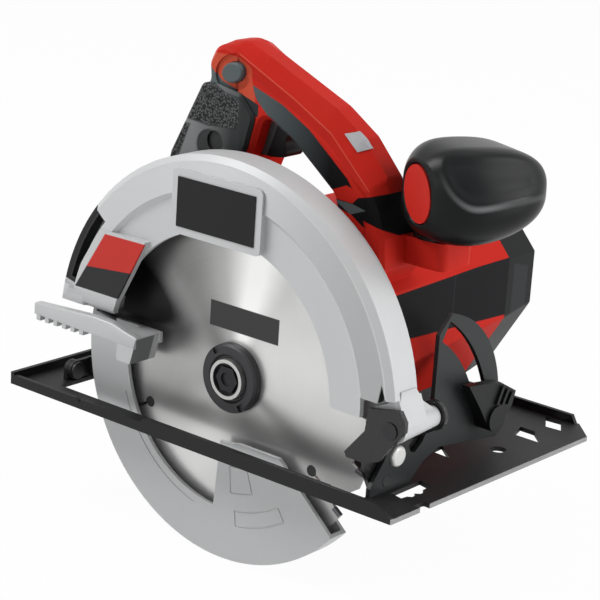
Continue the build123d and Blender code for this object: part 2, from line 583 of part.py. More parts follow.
# Motor housing: a faceted shell between two sections, with the gear case bulging below it
def housing_section(y, shrink, nose, belly):
    """Closed section of the motor body at depth y, drawn in towards the motor axis by the given amount."""
    corners = [
        (72 - shrink, nose), (72 - shrink, 92 - shrink * 0.4), (52 - shrink * 0.4, 114 - shrink),
        (-22 + shrink * 0.4, 114 - shrink), (-40 + shrink, 96 - shrink * 0.4), (-40 + shrink, 42),
        (-22 + shrink * 0.4, belly), (48 - shrink * 0.4, belly),
    ]
    return soft_outline(corners, [4, 1, 1, 1, 1, 4, 4, 4], side(y))


LOCK_Y = 20.0
LOCK_Z = 50.0
PIN_LOCK_RADIUS = 4.0
with BuildPart() as motor_housing:
    loft([housing_section(HOUSING_LENGTH, 0, 59, 19), housing_section(0, 0, 46, 17)], ruled=True)
    extrude(disc(GEAR_ROOM + 3, side(GEAR_PLATE_Y + 3, z=ARBOR_HEIGHT)), amount=GEAR_PLATE_Y + 3)
    plate_back = GEAR_PLATE_Y + GEAR_PLATE_THICKNESS
    extrude(disc(GEAR_ROOM, side(plate_back + 0.5, z=ARBOR_HEIGHT)), amount=plate_back + 0.5,
        mode=Mode.SUBTRACT)
    extrude(disc(PINION_TIP + 1.5, side(plate_back, MOTOR_X, MOTOR_Z)), amount=plate_back - 8,
        mode=Mode.SUBTRACT)
    extrude(disc(MOTOR_ROOM, side(HOUSING_LENGTH, MOTOR_X, MOTOR_Z)),
        amount=HOUSING_LENGTH - GEAR_PLATE_Y, mode=Mode.SUBTRACT)
    with BuildSketch(side(20)):
        with Locations(*GUARD_SCREWS):
            Circle(GUARD_SCREW_RADIUS + RUNNING)
    extrude(amount=20, mode=Mode.SUBTRACT)
    with BuildSketch(side(HOUSING_LENGTH)):
        with Locations(*CAP_SCREWS):
            Circle(2.0)
    extrude(amount=16, mode=Mode.SUBTRACT)
    extrude(disc(PIN_LOCK_RADIUS + RUNNING, facing(-45, LOCK_Y, LOCK_Z)), amount=24, mode=Mode.SUBTRACT)
save(motor_housing.part, "motor_housing")

# Motor end cap with cooling slots
CAP_BACK = HOUSING_LENGTH + END_CAP_LENGTH
with BuildPart() as end_cap:
    loft([housing_section(CAP_BACK, 2, 62, 24), housing_section(HOUSING_LENGTH, 0, 59, 19)], ruled=True)
    extrude(disc(MOTOR_ROOM - 4, side(REAR_BEARING_Y - 1.5, MOTOR_X, MOTOR_Z)),
        amount=REAR_BEARING_Y - HOUSING_LENGTH, mode=Mode.SUBTRACT)
    extrude(disc(11.0 + 0.02, side(REAR_BEARING_Y + 6, MOTOR_X, MOTOR_Z)), amount=8, mode=Mode.SUBTRACT)
    with BuildSketch(side(CAP_BACK)):
        with Locations((MOTOR_X - 23, MOTOR_Z), (MOTOR_X + 23, MOTOR_Z)):
            with GridLocations(6, 0, 3, 1):
                Rectangle(3, 34)
    extrude(amount=END_CAP_LENGTH - 4, mode=Mode.SUBTRACT)
    with BuildSketch(side(CAP_BACK)):
        with Locations(*CAP_SCREWS):
            Circle(4.6)
    extrude(amount=END_CAP_LENGTH - 8, mode=Mode.SUBTRACT)
    with BuildSketch(side(CAP_BACK)):
        with Locations(*CAP_SCREWS):
            Circle(2.0)
    extrude(amount=END_CAP_LENGTH, mode=Mode.SUBTRACT)
save(end_cap.part, "end_cap")


def screws(points, head_y, head_radius, head_height, shank_radius, length, towards):
    """Group of pan-head screws along Y with a cross slot; the shank runs the given way."""
    with BuildPart() as group:
        with BuildSketch(side(head_y)):
            with Locations(*points):
                Circle(head_radius)
        extrude(amount=head_height * towards)
        with BuildSketch(side(head_y)):
            with Locations(*points):
                Circle(shank_radius)
        extrude(amount=-length * towards)
        with BuildSketch(side(head_y - towards * (head_height - 1))):
            with Locations(*points):
                Rectangle(head_radius * 1.2, 1.0)
                Rectangle(1.0, head_radius * 1.2)
        extrude(amount=2 * towards, mode=Mode.SUBTRACT)
    return group.part


save(screws(CAP_SCREWS, HOUSING_LENGTH + 8, 4.2, 3.0, 1.95, 22, -1), "end_cap_screws")
save(screws(GUARD_SCREWS, -UPPER_BACK_THICKNESS, 4.6, 1.3, GUARD_SCREW_RADIUS, 20, 1), "guard_screws")

# Handle: one closed loop with the housing, split down the middle
INNER_RUN = [
    (-18, 114, 0), (-22, 130, 8), (-13, 152, 8), (-8, 170, 5), (12, 160, 20), (40, 139, 8),
    (45, 126, 6), (42, 114, 0),
    (52, 114, 0), (68, 96.4, 0), (75, 106, 3), (73, 122, 4), (69, 134, 5),
]
CREASE_RUN = [(62, 145, 6), (45.5, 157, 9), (27, 168.5, 20), (-12, 190.5, 20), (-30, 200, 9)]
CROWN_RUN = [(66, 150, 6), (50, 167, 9), (31, 179, 20), (-14, 197.5, 20), (-30, 203.5, 9)]
REAR_RUN = [
    (-41, 202, 9), (-46.5, 190, 6), (-45.5, 182, 6), (-65, 139, 15), (-70, 116, 6), (-60, 96, 4),
    (-40, 96, 0), (-22, 114, 0),
]
HANDLE_SCREWS = [(-37, 151), (56, 130), (-54, 110), (30, 160)]
SCREW_SEAT_Y = HANDLE_LEFT_Y - 4.0
SCREW_LENGTH = 24.0
BUTTON_X = -28.6
BUTTON_Z = 188.0
BUTTON_LENGTH = 7.2
BUTTON_HEIGHT = 5.2
BUTTON_LEAN = 20.0
TRIGGER_ROOM = [(-30.3, 146), (6, 146), (6, 168), (-30.3, 168)]
SWITCH_ROOM = [(-47, 156), (-30, 156), (-30, 174), (-47, 174)]
TRIGGER_HALF = 7.0
SWITCH_HALF = 10.0
GLAND = Plane(origin=(-65, HANDLE_Y, 106), x_dir=(0, 1, 0), z_dir=(-2, 0, -1))
KNOB_BOLT = (86.0, 37.0)
KNOB_SEAT = 122.0


def on_housing(edge):
    """True for the edges of the loop that lie on the motor housing."""
    middle = edge.center()
    on_top = abs(middle.Z - 114) < 0.1
    on_front = abs(middle.X - 60) < 0.1
    on_rear = abs(middle.X + 31) < 0.1
    return on_top or on_front or on_rear


def loop_face(top_run, y):
    """Face of the handle loop at depth y, with one or the other line of its top."""
    corners = INNER_RUN + top_run + REAR_RUN
    return soft_outline([(x, z) for x, z, r in corners], [r for x, z, r in corners], side(y))


def handle_half(low_y, outer_y):
    """One half of the handle loop: a flat side up to the crease, then a slope up to the crown."""
    inward = 1 if outer_y < HANDLE_Y else -1
    crown_y = outer_y + inward * CROWN_DEPTH
    with BuildPart() as half:
        extrude(loop_face(CREASE_RUN, low_y + HANDLE_HALF_WIDTH), amount=HANDLE_HALF_WIDTH)
        rims = half.edges().filter_by(lambda e: abs(e.center().Y - outer_y) < 0.01 and not on_housing(e))
        chamfer(rims, HANDLE_CHAMFER)
        loft([loop_face(CREASE_RUN, outer_y + inward * HANDLE_CHAMFER), loop_face(CROWN_RUN, crown_y)],
            ruled=True)
        extrude(loop_face(CROWN_RUN, HANDLE_Y), amount=HANDLE_Y - crown_y)
        trigger_side = HANDLE_Y + TRIGGER_HALF + 0.4
        extrude(outline(TRIGGER_ROOM, side(trigger_side)), amount=2 * TRIGGER_HALF + 0.8, mode=Mode.SUBTRACT)
        switch_side = HANDLE_Y + SWITCH_HALF + 0.2
        extrude(outline(SWITCH_ROOM, side(switch_side)), amount=2 * SWITCH_HALF + 0.4, mode=Mode.SUBTRACT)
        extrude(disc(6.02, GLAND), amount=-5.2, mode=Mode.SUBTRACT)
        extrude(disc(4.5, GLAND), amount=-14, mode=Mode.SUBTRACT)
        with BuildSketch(side(SCREW_SEAT_Y)):
            with Locations(*HANDLE_SCREWS):
                Circle(2.0)
        extrude(amount=SCREW_LENGTH + 1, mode=Mode.SUBTRACT)
    return half.part


with BuildPart() as handle_right:
    add(handle_half(HANDLE_RIGHT_Y, HANDLE_RIGHT_Y))
    with BuildSketch(side(HANDLE_RIGHT_Y + 1.2, BUTTON_X, BUTTON_Z)):
        Ellipse(12.8, 9.6, rotation=BUTTON_LEAN)
    extrude(amount=4, mode=Mode.SUBTRACT)
    with BuildSketch(side(HANDLE_RIGHT_Y + 11, BUTTON_X, BUTTON_Z)):
        Ellipse(BUTTON_LENGTH + CLEAR, BUTTON_HEIGHT + CLEAR, rotation=BUTTON_LEAN)
    extrude(amount=14, mode=Mode.SUBTRACT)
save(handle_right.part, "handle_right")

with BuildPart() as handle_left:
    add(handle_half(HANDLE_Y, HANDLE_LEFT_Y))
    with BuildSketch(Plane.XY.offset(KNOB_SEAT)):
        with Locations((84, HANDLE_LEFT_Y - 2)):
            RectangleRounded(28, 26, 5)
    extrude(amount=-14)
    with BuildSketch(side(HANDLE_LEFT_Y + 2)):
        with Locations(*HANDLE_SCREWS):
            Circle(4.8)
    extrude(amount=HANDLE_LEFT_Y + 2 - SCREW_SEAT_Y, mode=Mode.SUBTRACT)
    with BuildSketch(Plane.XY.offset(KNOB_SEAT)):
        with Locations(KNOB_BOLT):
            Circle(4.3)
    extrude(amount=-40, mode=Mode.SUBTRACT)
    with BuildSketch(Plane.XY.offset(KNOB_SEAT - 8)):
        with Locations(KNOB_BOLT):
            Circle(8.5)
    extrude(amount=-40, mode=Mode.SUBTRACT)
save(handle_left.part, "handle_left")
save(screws(HANDLE_SCREWS, SCREW_SEAT_Y, 4.3, 2.6, 1.95, SCREW_LENGTH, -1), "handle_screws")

# Rubber grip round the rear post
GRIP = [
    (-48.2, 180), (-68.5, 139.5), (-73.5, 115), (-66, 100), (-50, 108), (-21, 117), (-25, 130), (-16, 152),
    (-12, 168), (-22, 178), (-38, 180.5),
]
with BuildPart() as rear_grip:
    extrude(soft_outline(GRIP, 5, side(HANDLE_LEFT_Y + GRIP_SKIN)),
        amount=2 * (HANDLE_HALF_WIDTH + GRIP_SKIN))
    chamfer(rear_grip.faces().filter_by(Plane.XZ).edges(), 1.6)
    extrude(loop_face(CREASE_RUN, HANDLE_LEFT_Y), amount=2 * HANDLE_HALF_WIDTH, mode=Mode.SUBTRACT)
    extrude(disc(9.0, GLAND), amount=14, mode=Mode.SUBTRACT)
    for hole in (HANDLE_SCREWS[0], HANDLE_SCREWS[2]):
        extrude(disc(5.2, side(HANDLE_LEFT_Y + GRIP_SKIN + 1, *hole)), amount=GRIP_SKIN + 2,
            mode=Mode.SUBTRACT)
    extrude(disc(5.5, side(HANDLE_RIGHT_Y - GRIP_SKIN + 1.4, *HANDLE_SCREWS[0])), amount=4,
        mode=Mode.SUBTRACT)
save(rear_grip.part, "rear_grip")

# Trigger, switch, lock button and cord gland
TRIGGER = [(-23.7, 167), (-6, 167), (3, 162), (-0.5, 155), (2.5, 148), (-8, 146.6), (-23.7, 146.6)]
with BuildPart() as trigger:
    extrude(soft_outline(TRIGGER, [0, 2, 3, 6, 3, 2, 0], side(HANDLE_Y + TRIGGER_HALF)),
        amount=2 * TRIGGER_HALF)
save(trigger.part, "trigger")
with BuildPart() as trigger_switch:
    with BuildSketch(side(HANDLE_Y + SWITCH_HALF)):
        with Locations((-38.5, 165)):
            Rectangle(16.8, 17.6)
    extrude(amount=2 * SWITCH_HALF)
save(trigger_switch.part, "trigger_switch")
with BuildPart() as lock_button:
    with BuildSketch(side(HANDLE_RIGHT_Y + 7, BUTTON_X, BUTTON_Z)):
        Ellipse(BUTTON_LENGTH, BUTTON_HEIGHT, rotation=BUTTON_LEAN)
    extrude(amount=9)
    chamfer(lock_button.faces().sort_by(Axis.Y)[0].edges(), 0.8)
save(lock_button.part, "lock_button")
with BuildPart() as cord_gland:
    extrude(disc(8.0, GLAND), amount=9)
    extrude(disc(6.0, GLAND), amount=-5)
    extrude(disc(4.0, GLAND), amount=9, mode=Mode.SUBTRACT)
    extrude(disc(4.0, GLAND), amount=-5, mode=Mode.SUBTRACT)
save(cord_gland.part, "cord_gland")

# Front knob with a cap set into the end that faces the blade
KNOB = Plane(origin=KNOB_CENTRE,
    x_dir=(math.cos(math.radians(KNOB_TURN)), math.sin(math.radians(KNOB_TURN)), 0))
KNOB_END = Plane(origin=KNOB.from_local_coords((0, KNOB_NEAR, 0)), x_dir=KNOB.x_dir, z_dir=-KNOB.y_dir)
KNOB_SECTIONS = [
    (KNOB_NEAR, 13.5, 16.5, 0), (-28, 20, 20.5, 0), (-18, 27, 24, 0), (0, 29, 24, 0), (16, 27, 20.5, 1),
    (28, 21, 14.5, 1.5), (34, 13, 9, 1.5), (36, 7, 5, 1.5),
]


def knob_section(along, half_width, half_height, rise):
    """Rounded section of the knob across its length."""
    centre = KNOB.from_local_coords((0, along, rise))
    with BuildSketch(Plane(origin=centre, x_dir=KNOB.x_dir, z_dir=KNOB.y_dir)) as shape:
        RectangleRounded(2 * half_width, 2 * half_height, 0.8 * min(half_width, half_height))
    return shape.sketch


with BuildPart() as front_knob:
    loft([knob_section(*numbers) for numbers in KNOB_SECTIONS])
    with BuildSketch(Plane.XY.offset(KNOB_SEAT)):
        with Locations(KNOB_BOLT):
            Circle(12.5)
    extrude(amount=KNOB_CENTRE[2] - KNOB_SEAT)
    with BuildSketch(Plane.XY.offset(KNOB_SEAT)):
        with Locations(KNOB_BOLT):
            Circle(4.05)
    extrude(amount=22, mode=Mode.SUBTRACT)
    with BuildSketch(KNOB_END.offset(-4)):
        Ellipse(KNOB_CAP_WIDTH + CLEAR, KNOB_CAP_HEIGHT + CLEAR, rotation=KNOB_CAP_LEAN)
    extrude(amount=10, mode=Mode.SUBTRACT)
save(front_knob.part, "front_knob")
with BuildPart() as knob_cap:
    with BuildSketch(KNOB_END.offset(-4)):
        Ellipse(KNOB_CAP_WIDTH, KNOB_CAP_HEIGHT, rotation=KNOB_CAP_LEAN)
    extrude(amount=4.2)
    chamfer(knob_cap.faces().sort_by(SortBy.DISTANCE, reverse=False)[-1:].edges(), 0.4)
save(knob_cap.part, "knob_cap")
with BuildPart() as knob_bolt:
    with BuildSketch(Plane.XY.offset(KNOB_SEAT - 8)):
        with Locations(KNOB_BOLT):
            RegularPolygon(6.5, 6, major_radius=False)
    extrude(amount=-5)
    with BuildSketch(Plane.XY.offset(KNOB_SEAT - 8)):
        with Locations(KNOB_BOLT):
            Circle(4.0)
    extrude(amount=28)
save(knob_bolt.part, "knob_bolt")

with BuildPart() as spindle_lock:
    extrude(disc(PIN_LOCK_RADIUS, facing(-47, LOCK_Y, LOCK_Z)), amount=17.5)
    extrude(disc(7.0, facing(-40 - LOCK_TRAVEL - 4, LOCK_Y, LOCK_Z)), amount=3.8)
save(spindle_lock.part, "spindle_lock")

# Shoe: stamped plate with upturned edges
SLOT_B = (76.0, 97.0, -27.0, -5.0)
plan = [
    (SHOE_REAR_X, SHOE_RIGHT_Y), (SHOE_FRONT_X, SHOE_RIGHT_Y), (SHOE_FRONT_X, SHOE_LEFT_Y - SHOE_CORNER),
    (SHOE_FRONT_X - SHOE_CORNER, SHOE_LEFT_Y), (SHOE_REAR_X, SHOE_LEFT_Y),
]
right_edge = [
    (SHOE_REAR_X, 0), (SHOE_FRONT_X, 0), (SHOE_FRONT_X, 2.5), (SHOE_FRONT_X - 10, SHOE_FLANGE),
    (-39, SHOE_FLANGE),
    (-42, SHOE_FLANGE - 2.5), (-84, SHOE_FLANGE - 2.5), (-87, SHOE_FLANGE - 4.5), (-90, SHOE_FLANGE - 2.5),
    (SHOE_REAR_X, SHOE_FLANGE - 2.5),
]
left_edge = [
    (SHOE_REAR_X, 0), (SHOE_FRONT_X - SHOE_CORNER, 0), (SHOE_FRONT_X - SHOE_CORNER - 4, SHOE_FLANGE - 1),
    (SHOE_REAR_X, SHOE_FLANGE - 1),
]
SCALLOPED = [
    (102.5, -7.5), (110, -9), (110.5, -5), (112.5, -3.5), (112.5, -0.5), (110.5, 1), (112.8, 3),
    (112.8, 6.5), (110.5, 8),
    (110.3, 15), (102, 17),
]


def rectangle_cut(x0, x1, y0, y1, corner):
    """Rounded window through the floor of the shoe."""
    with BuildSketch(Plane.XY) as shape:
        with Locations(((x0 + x1) / 2, (y0 + y1) / 2)):
            RectangleRounded(x1 - x0, y1 - y0, corner)
    return shape.sketch


with BuildPart() as shoe:
    with BuildSketch():
        with BuildLine():
            Polyline(*plan, close=True)
        make_face()
    extrude(amount=FLOOR)
    extrude(outline(right_edge, side(SHOE_RIGHT_Y + SHEET)), amount=SHEET)
    extrude(outline(left_edge, side(SHOE_LEFT_Y)), amount=SHEET)
    with BuildSketch(facing(SHOE_REAR_X)):
        with Locations((SHOE_RIGHT_Y, 0)):
            Rectangle(SHOE_LEFT_Y - SHOE_RIGHT_Y, SHOE_FLANGE - 1, align=(Align.MIN, Align.MIN))
    extrude(amount=SHEET)
    ear = facing(BLADE_SLOT_REAR - 2 * SHEET - 0.7, BEVEL_Y)
    with BuildSketch(ear):
        with Locations((0, BEVEL_Z)):
            Circle(PIN_RADIUS + 2.2)
        Rectangle(2 * PIN_RADIUS + 4.4, BEVEL_Z, align=(Align.CENTER, Align.MIN))
        with Locations((0, BEVEL_Z)):
            Circle(PIN_RADIUS + RUNNING, mode=Mode.SUBTRACT)
    extrude(amount=SHEET)
    cuts = [
        rectangle_cut(BLADE_SLOT_REAR, BLADE_SLOT_FRONT, BLADE_SLOT_RIGHT, BLADE_SLOT_LEFT, 3),
        rectangle_cut(*SLOT_B, 2),
        outline([(100, 133), (109.4, 134), (100.5, 147.3), (91.2, 146.5)], Plane.XY),
        outline([(95, 109.5), (113.2, 109.4), (100.1, 121.8), (91.1, 122)], Plane.XY),
        outline(SCALLOPED, Plane.XY),
        disc(4.3, Plane.XY, (103, 83.8)),
        disc(4.2, Plane.XY, (83.8, 38)),
        outline([(80, 55), (93.5, 54), (79.5, 66)], Plane.XY),
    ]
    for cut in cuts:
        extrude(cut, amount=FLOOR, mode=Mode.SUBTRACT)
    notch = rectangle_cut(SHOE_FRONT_X - 4, SHOE_FRONT_X + 4, BEVEL_Y - 4, BEVEL_Y + 4, 1)
    extrude(notch, amount=FLOOR, mode=Mode.SUBTRACT)
save(shoe.part, "shoe")

# Bevel quadrant fixed to the shoe
ARCH_CENTRE = (25.0, 27.0)
ARCH_RADIUS = 59.5
ARCH_LEFT_Y = 27.0
ARCH_LOW_Z = 16.0
RIVET = (-0.6, 19.4)
RIVET_RADIUS = 5.4
quadrant_plane = facing(QUADRANT_X, BEVEL_Y, BEVEL_Z)
plate = [
    (-21, FLOOR), (12, FLOOR), (22, 11), (34, 15.3), (84.7, 8.7), (91.8, 12.8), (93, ARCH_LOW_Z),
    (90, 24), (80, 34),
    (ARCH_LEFT_Y, 34), (20, 22), (14, 17.5), (10.5, 18.5), (8, 23), (3, 25.5), (-6, 25.5), (-21, 7),
]
slot_low = BEVEL_BOLT_ANGLE - 3.5
slot_high = BEVEL_BOLT_ANGLE + BEVEL_MAX + 2.5
with BuildPart() as bevel_quadrant:
    with BuildSketch(facing(QUADRANT_X)):
        with Locations(ARCH_CENTRE):
            Circle(ARCH_RADIUS)
        with Locations((ARCH_LEFT_Y, 0)):
            Rectangle(4 * ARCH_RADIUS, 4 * ARCH_RADIUS, align=(Align.MAX, Align.CENTER), mode=Mode.SUBTRACT)
        with Locations((0, ARCH_LOW_Z)):
            Rectangle(4 * ARCH_RADIUS, 4 * ARCH_RADIUS, align=(Align.CENTER, Align.MAX), mode=Mode.SUBTRACT)
    extrude(amount=SHEET)
    extrude(outline([(20, 69), (46, 95), (20, 95)], facing(QUADRANT_X)), amount=SHEET, mode=Mode.SUBTRACT)
    extrude(outline(plate, facing(QUADRANT_X)), amount=SHEET)
    slot = sector(BEVEL_ARC_RADIUS - BEVEL_SLOT_HALF, BEVEL_ARC_RADIUS + BEVEL_SLOT_HALF, slot_low,
        slot_high, quadrant_plane)
    extrude(slot, amount=SHEET, mode=Mode.SUBTRACT)
    extrude(disc(PIN_RADIUS + RUNNING, quadrant_plane), amount=SHEET, mode=Mode.SUBTRACT)
    extrude(disc(RIVET_RADIUS, facing(QUADRANT_X + SHEET), RIVET), amount=1.8)
    chamfer(bevel_quadrant.faces().sort_by(Axis.X)[-1].edges(), 0.9)
save(bevel_quadrant.part, "bevel_quadrant")

# Front bracket: two ears round the pivot lug and a web behind the quadrant
BOLT_POINT = polar(BEVEL_ARC_RADIUS, BEVEL_BOLT_ANGLE)
BEVEL_BOLT_Y = BEVEL_Y + BOLT_POINT[0]
BEVEL_BOLT_Z = BEVEL_Z + BOLT_POINT[1]
EAR_RIGHT_Y = LUG_RIGHT_Y - SHEET_GAP
EAR_LEFT_Y = LUG_LEFT_Y + SHEET_GAP
web = [
    (EAR_RIGHT_Y - SHEET, 16), (EAR_RIGHT_Y - SHEET, 24), (EAR_LEFT_Y + SHEET, 24), (30, 30), (55, 36),
    (75, 38),
    (80, 28), (76, 16), (60, 15), (30, 17), (20, 8), (EAR_LEFT_Y + SHEET, 2.8), (BEVEL_Y, 2.8),
    (BEVEL_Y - 8, 4),
]
right_ear = [
    (83, 22.5), (84.5, 20), (94.5, 20), (104, 23), (113, 35), (118.5, 42), (118.5, 47), (115, 52),
    (96, 48.5), (94.5, 36.5),
]
left_ear = [
    (WEB_X, 2.8), (WEB_X + SHEET, 2.8), (WEB_X + SHEET, 24), (WEB_X + 8, 27), (PIVOT_X + 6.5, PIVOT_Z - 4.5),
    (PIVOT_X, PIVOT_Z), (PIVOT_X - 7.6, PIVOT_Z + 1), (WEB_X, 28),
]
with BuildPart() as front_bracket:
    extrude(outline(web, facing(WEB_X)), amount=SHEET)
    extrude(outline(right_ear, side(EAR_RIGHT_Y)), amount=SHEET)
    extrude(outline(left_ear, side(EAR_LEFT_Y + SHEET)), amount=SHEET)
    extrude(disc(LUG_RADIUS + 0.5, side(EAR_LEFT_Y + SHEET, PIVOT_X, PIVOT_Z)), amount=SHEET)
    extrude(disc(PIN_RADIUS + RUNNING, side(60, PIVOT_X, PIVOT_Z)), amount=120, mode=Mode.SUBTRACT)
    extrude(disc(PIN_RADIUS + RUNNING, facing(WEB_X, BEVEL_Y, BEVEL_Z)), amount=SHEET, mode=Mode.SUBTRACT)
    extrude(disc(PIN_RADIUS + RUNNING, facing(WEB_X, BEVEL_BOLT_Y, BEVEL_BOLT_Z)), amount=SHEET,
        mode=Mode.SUBTRACT)
save(front_bracket.part, "front_bracket")

with BuildPart() as depth_pivot_pin:
    pin_right = EAR_RIGHT_Y - SHEET
    pin_left = EAR_LEFT_Y + SHEET
    extrude(disc(PIN_RADIUS, side(pin_left + 1.5, PIVOT_X, PIVOT_Z)), amount=pin_left - pin_right + 1.5)
    extrude(disc(PIN_RADIUS + 1.4, side(pin_right, PIVOT_X, PIVOT_Z)), amount=0.8)
save(depth_pivot_pin.part, "depth_pivot_pin")

# Depth bracket: rear arc with a clamping slot, and the tab that carries the rear bevel pin
REAR_TAB_X = BLADE_SLOT_REAR - SHEET - 0.5
ARC_RADIUS = math.hypot(DEPTH_BOLT_X - PIVOT_X, DEPTH_BOLT_Z - PIVOT_Z)
ARC_BOLT = math.degrees(math.atan2(DEPTH_BOLT_Z - PIVOT_Z, DEPTH_BOLT_X - PIVOT_X))
ARC_Y = 4.0
arc_plane = side(ARC_Y, PIVOT_X, PIVOT_Z)
foot = [(-94, 24), (-74, 24), (-74, 8), (-100, 3), (REAR_TAB_X, 3), (REAR_TAB_X, 13.2), (-104, 16)]
with BuildPart() as depth_bracket:
    extrude(sector(ARC_RADIUS - 9, ARC_RADIUS + 9, ARC_BOLT - DEPTH_MAX - 3.5, ARC_BOLT + 12,
        arc_plane), amount=SHEET)
    extrude(outline(foot, side(ARC_Y)), amount=SHEET)
    extrude(disc(PIN_RADIUS + 2.2, facing(REAR_TAB_X, BEVEL_Y, BEVEL_Z)), amount=SHEET)
    tab = [(BEVEL_Y, BEVEL_Z - 5.2), (ARC_Y, BEVEL_Z - 5), (ARC_Y, BEVEL_Z + 5.2), (BEVEL_Y, BEVEL_Z + 5.2)]
    extrude(outline(tab, facing(REAR_TAB_X)), amount=SHEET)
    extrude(sector(ARC_RADIUS - 3.4, ARC_RADIUS + 3.4, ARC_BOLT - DEPTH_MAX - 1.5, ARC_BOLT + 1.5,
        arc_plane), amount=SHEET, mode=Mode.SUBTRACT)
    extrude(disc(PIN_RADIUS + RUNNING, facing(REAR_TAB_X, BEVEL_Y, BEVEL_Z)), amount=SHEET,
        mode=Mode.SUBTRACT)
save(depth_bracket.part, "depth_bracket")

with BuildPart() as bevel_pins:
    extrude(disc(PIN_RADIUS, facing(WEB_X, BEVEL_Y, BEVEL_Z)), amount=QUADRANT_X + SHEET + 0.2 - WEB_X)
    extrude(disc(PIN_RADIUS + 1.8, facing(WEB_X - 1.6, BEVEL_Y, BEVEL_Z)), amount=1.6)
    extrude(disc(PIN_RADIUS, facing(REAR_TAB_X - SHEET - 1.7, BEVEL_Y, BEVEL_Z)), amount=2 * SHEET + 1.7)
    extrude(disc(PIN_RADIUS + 1.8, facing(REAR_TAB_X + SHEET, BEVEL_Y, BEVEL_Z)), amount=1.6)
save(bevel_pins.part, "bevel_pins")


def clamp_lever(plane, hub, height, body, ribs):
    """Moulded clamping lever: a hub, a flat body and raised ribs across its end."""
    with BuildPart() as lever:
        extrude(disc(hub, plane), amount=height)
        extrude(outline(body, plane.offset(height * 0.35)), amount=height * 0.5)
        for rib in ribs:
            extrude(outline(rib, plane.offset(height * 0.8)), amount=height * 0.2)
        extrude(disc(PIN_RADIUS + RUNNING, plane), amount=height * 0.7, mode=Mode.SUBTRACT)
    return lever.part


def rib_across(low, high, width):
    """Narrow band from one edge of a lever to the other."""
    return [low, (low[0] + width, low[1]), (high[0] + width, high[1]), high]


BEVEL_BODY = [(-26, 23), (1.4, 19.5), (17, 11.3), (14.4, 3.7), (4, -5), (-5, -5), (-14, 8)]
BEVEL_RIBS = [rib_across((-2 + 5 * step, 8 - step), (2.5 + 4.5 * step, 17 - 2.6 * step),
    2.2) for step in range(3)]
DEPTH_BODY = [(0, -6), (38, -6), (38, 6), (0, 6)]
DEPTH_RIBS = [rib_across((24 + 4 * step, -5.5), (24 + 4 * step, 5.5), 2) for step in range(4)]
BEVEL_LEVER = facing(QUADRANT_X + SHEET + 0.2, BEVEL_BOLT_Y, BEVEL_BOLT_Z)
save(clamp_lever(BEVEL_LEVER, 7.0, 10.0, BEVEL_BODY, BEVEL_RIBS), "bevel_lever")
with BuildPart() as bevel_bolt:
    extrude(disc(PIN_RADIUS, facing(WEB_X, BEVEL_BOLT_Y, BEVEL_BOLT_Z)), amount=2 * SHEET + SHEET_GAP + 6)
    extrude(disc(PIN_RADIUS + 3, facing(WEB_X - 3.5, BEVEL_BOLT_Y, BEVEL_BOLT_Z)), amount=3.5)
save(bevel_bolt.part, "bevel_bolt")

DEPTH_LEVER = Plane(origin=(DEPTH_BOLT_X, ARC_Y + 0.2, DEPTH_BOLT_Z), x_dir=(-1, 0, -0.25), z_dir=(0, 1, 0))
save(clamp_lever(DEPTH_LEVER, 8.0, 10.0, DEPTH_BODY, DEPTH_RIBS), "depth_lever")
with BuildPart() as depth_bolt:
    extrude(disc(PIN_RADIUS, side(ARC_Y + 6, DEPTH_BOLT_X, DEPTH_BOLT_Z)),
        amount=ARC_Y + 6 + UPPER_BACK_THICKNESS)
    extrude(disc(PIN_RADIUS + 3, side(-UPPER_BACK_THICKNESS, DEPTH_BOLT_X, DEPTH_BOLT_Z)), amount=1.5)
save(depth_bolt.part, "depth_bolt")
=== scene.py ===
import math

import bpy
from bpy.props import FloatProperty, FloatVectorProperty, PointerProperty
from mathutils import Matrix, Vector


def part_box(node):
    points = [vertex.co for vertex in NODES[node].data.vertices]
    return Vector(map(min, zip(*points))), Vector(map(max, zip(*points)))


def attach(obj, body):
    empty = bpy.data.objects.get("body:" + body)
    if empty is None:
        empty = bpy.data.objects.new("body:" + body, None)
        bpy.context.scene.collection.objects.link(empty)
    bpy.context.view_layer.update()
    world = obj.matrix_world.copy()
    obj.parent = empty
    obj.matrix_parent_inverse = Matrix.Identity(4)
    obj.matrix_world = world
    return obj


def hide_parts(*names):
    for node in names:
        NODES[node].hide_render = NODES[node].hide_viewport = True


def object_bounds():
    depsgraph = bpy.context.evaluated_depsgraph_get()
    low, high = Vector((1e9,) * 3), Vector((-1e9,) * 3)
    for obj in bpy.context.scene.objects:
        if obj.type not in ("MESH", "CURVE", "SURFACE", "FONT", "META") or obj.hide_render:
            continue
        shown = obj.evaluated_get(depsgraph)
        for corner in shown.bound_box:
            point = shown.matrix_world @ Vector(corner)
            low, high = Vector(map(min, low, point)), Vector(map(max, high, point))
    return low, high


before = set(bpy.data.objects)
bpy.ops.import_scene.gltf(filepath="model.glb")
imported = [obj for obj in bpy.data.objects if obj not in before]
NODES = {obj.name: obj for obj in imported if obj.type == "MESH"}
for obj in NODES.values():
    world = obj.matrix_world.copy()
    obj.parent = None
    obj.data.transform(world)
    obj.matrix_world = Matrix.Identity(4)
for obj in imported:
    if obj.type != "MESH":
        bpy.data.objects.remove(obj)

bl_info = {
    "name": "Circular saw dresser",
    "version": (1, 0, 0),
    "blender": (4, 5, 0),
    "location": "View3D > Sidebar > Saw",
    "description": "Finishes the pieces of a sidewinder circular saw and sets its studio",
    "category": "Object",
}

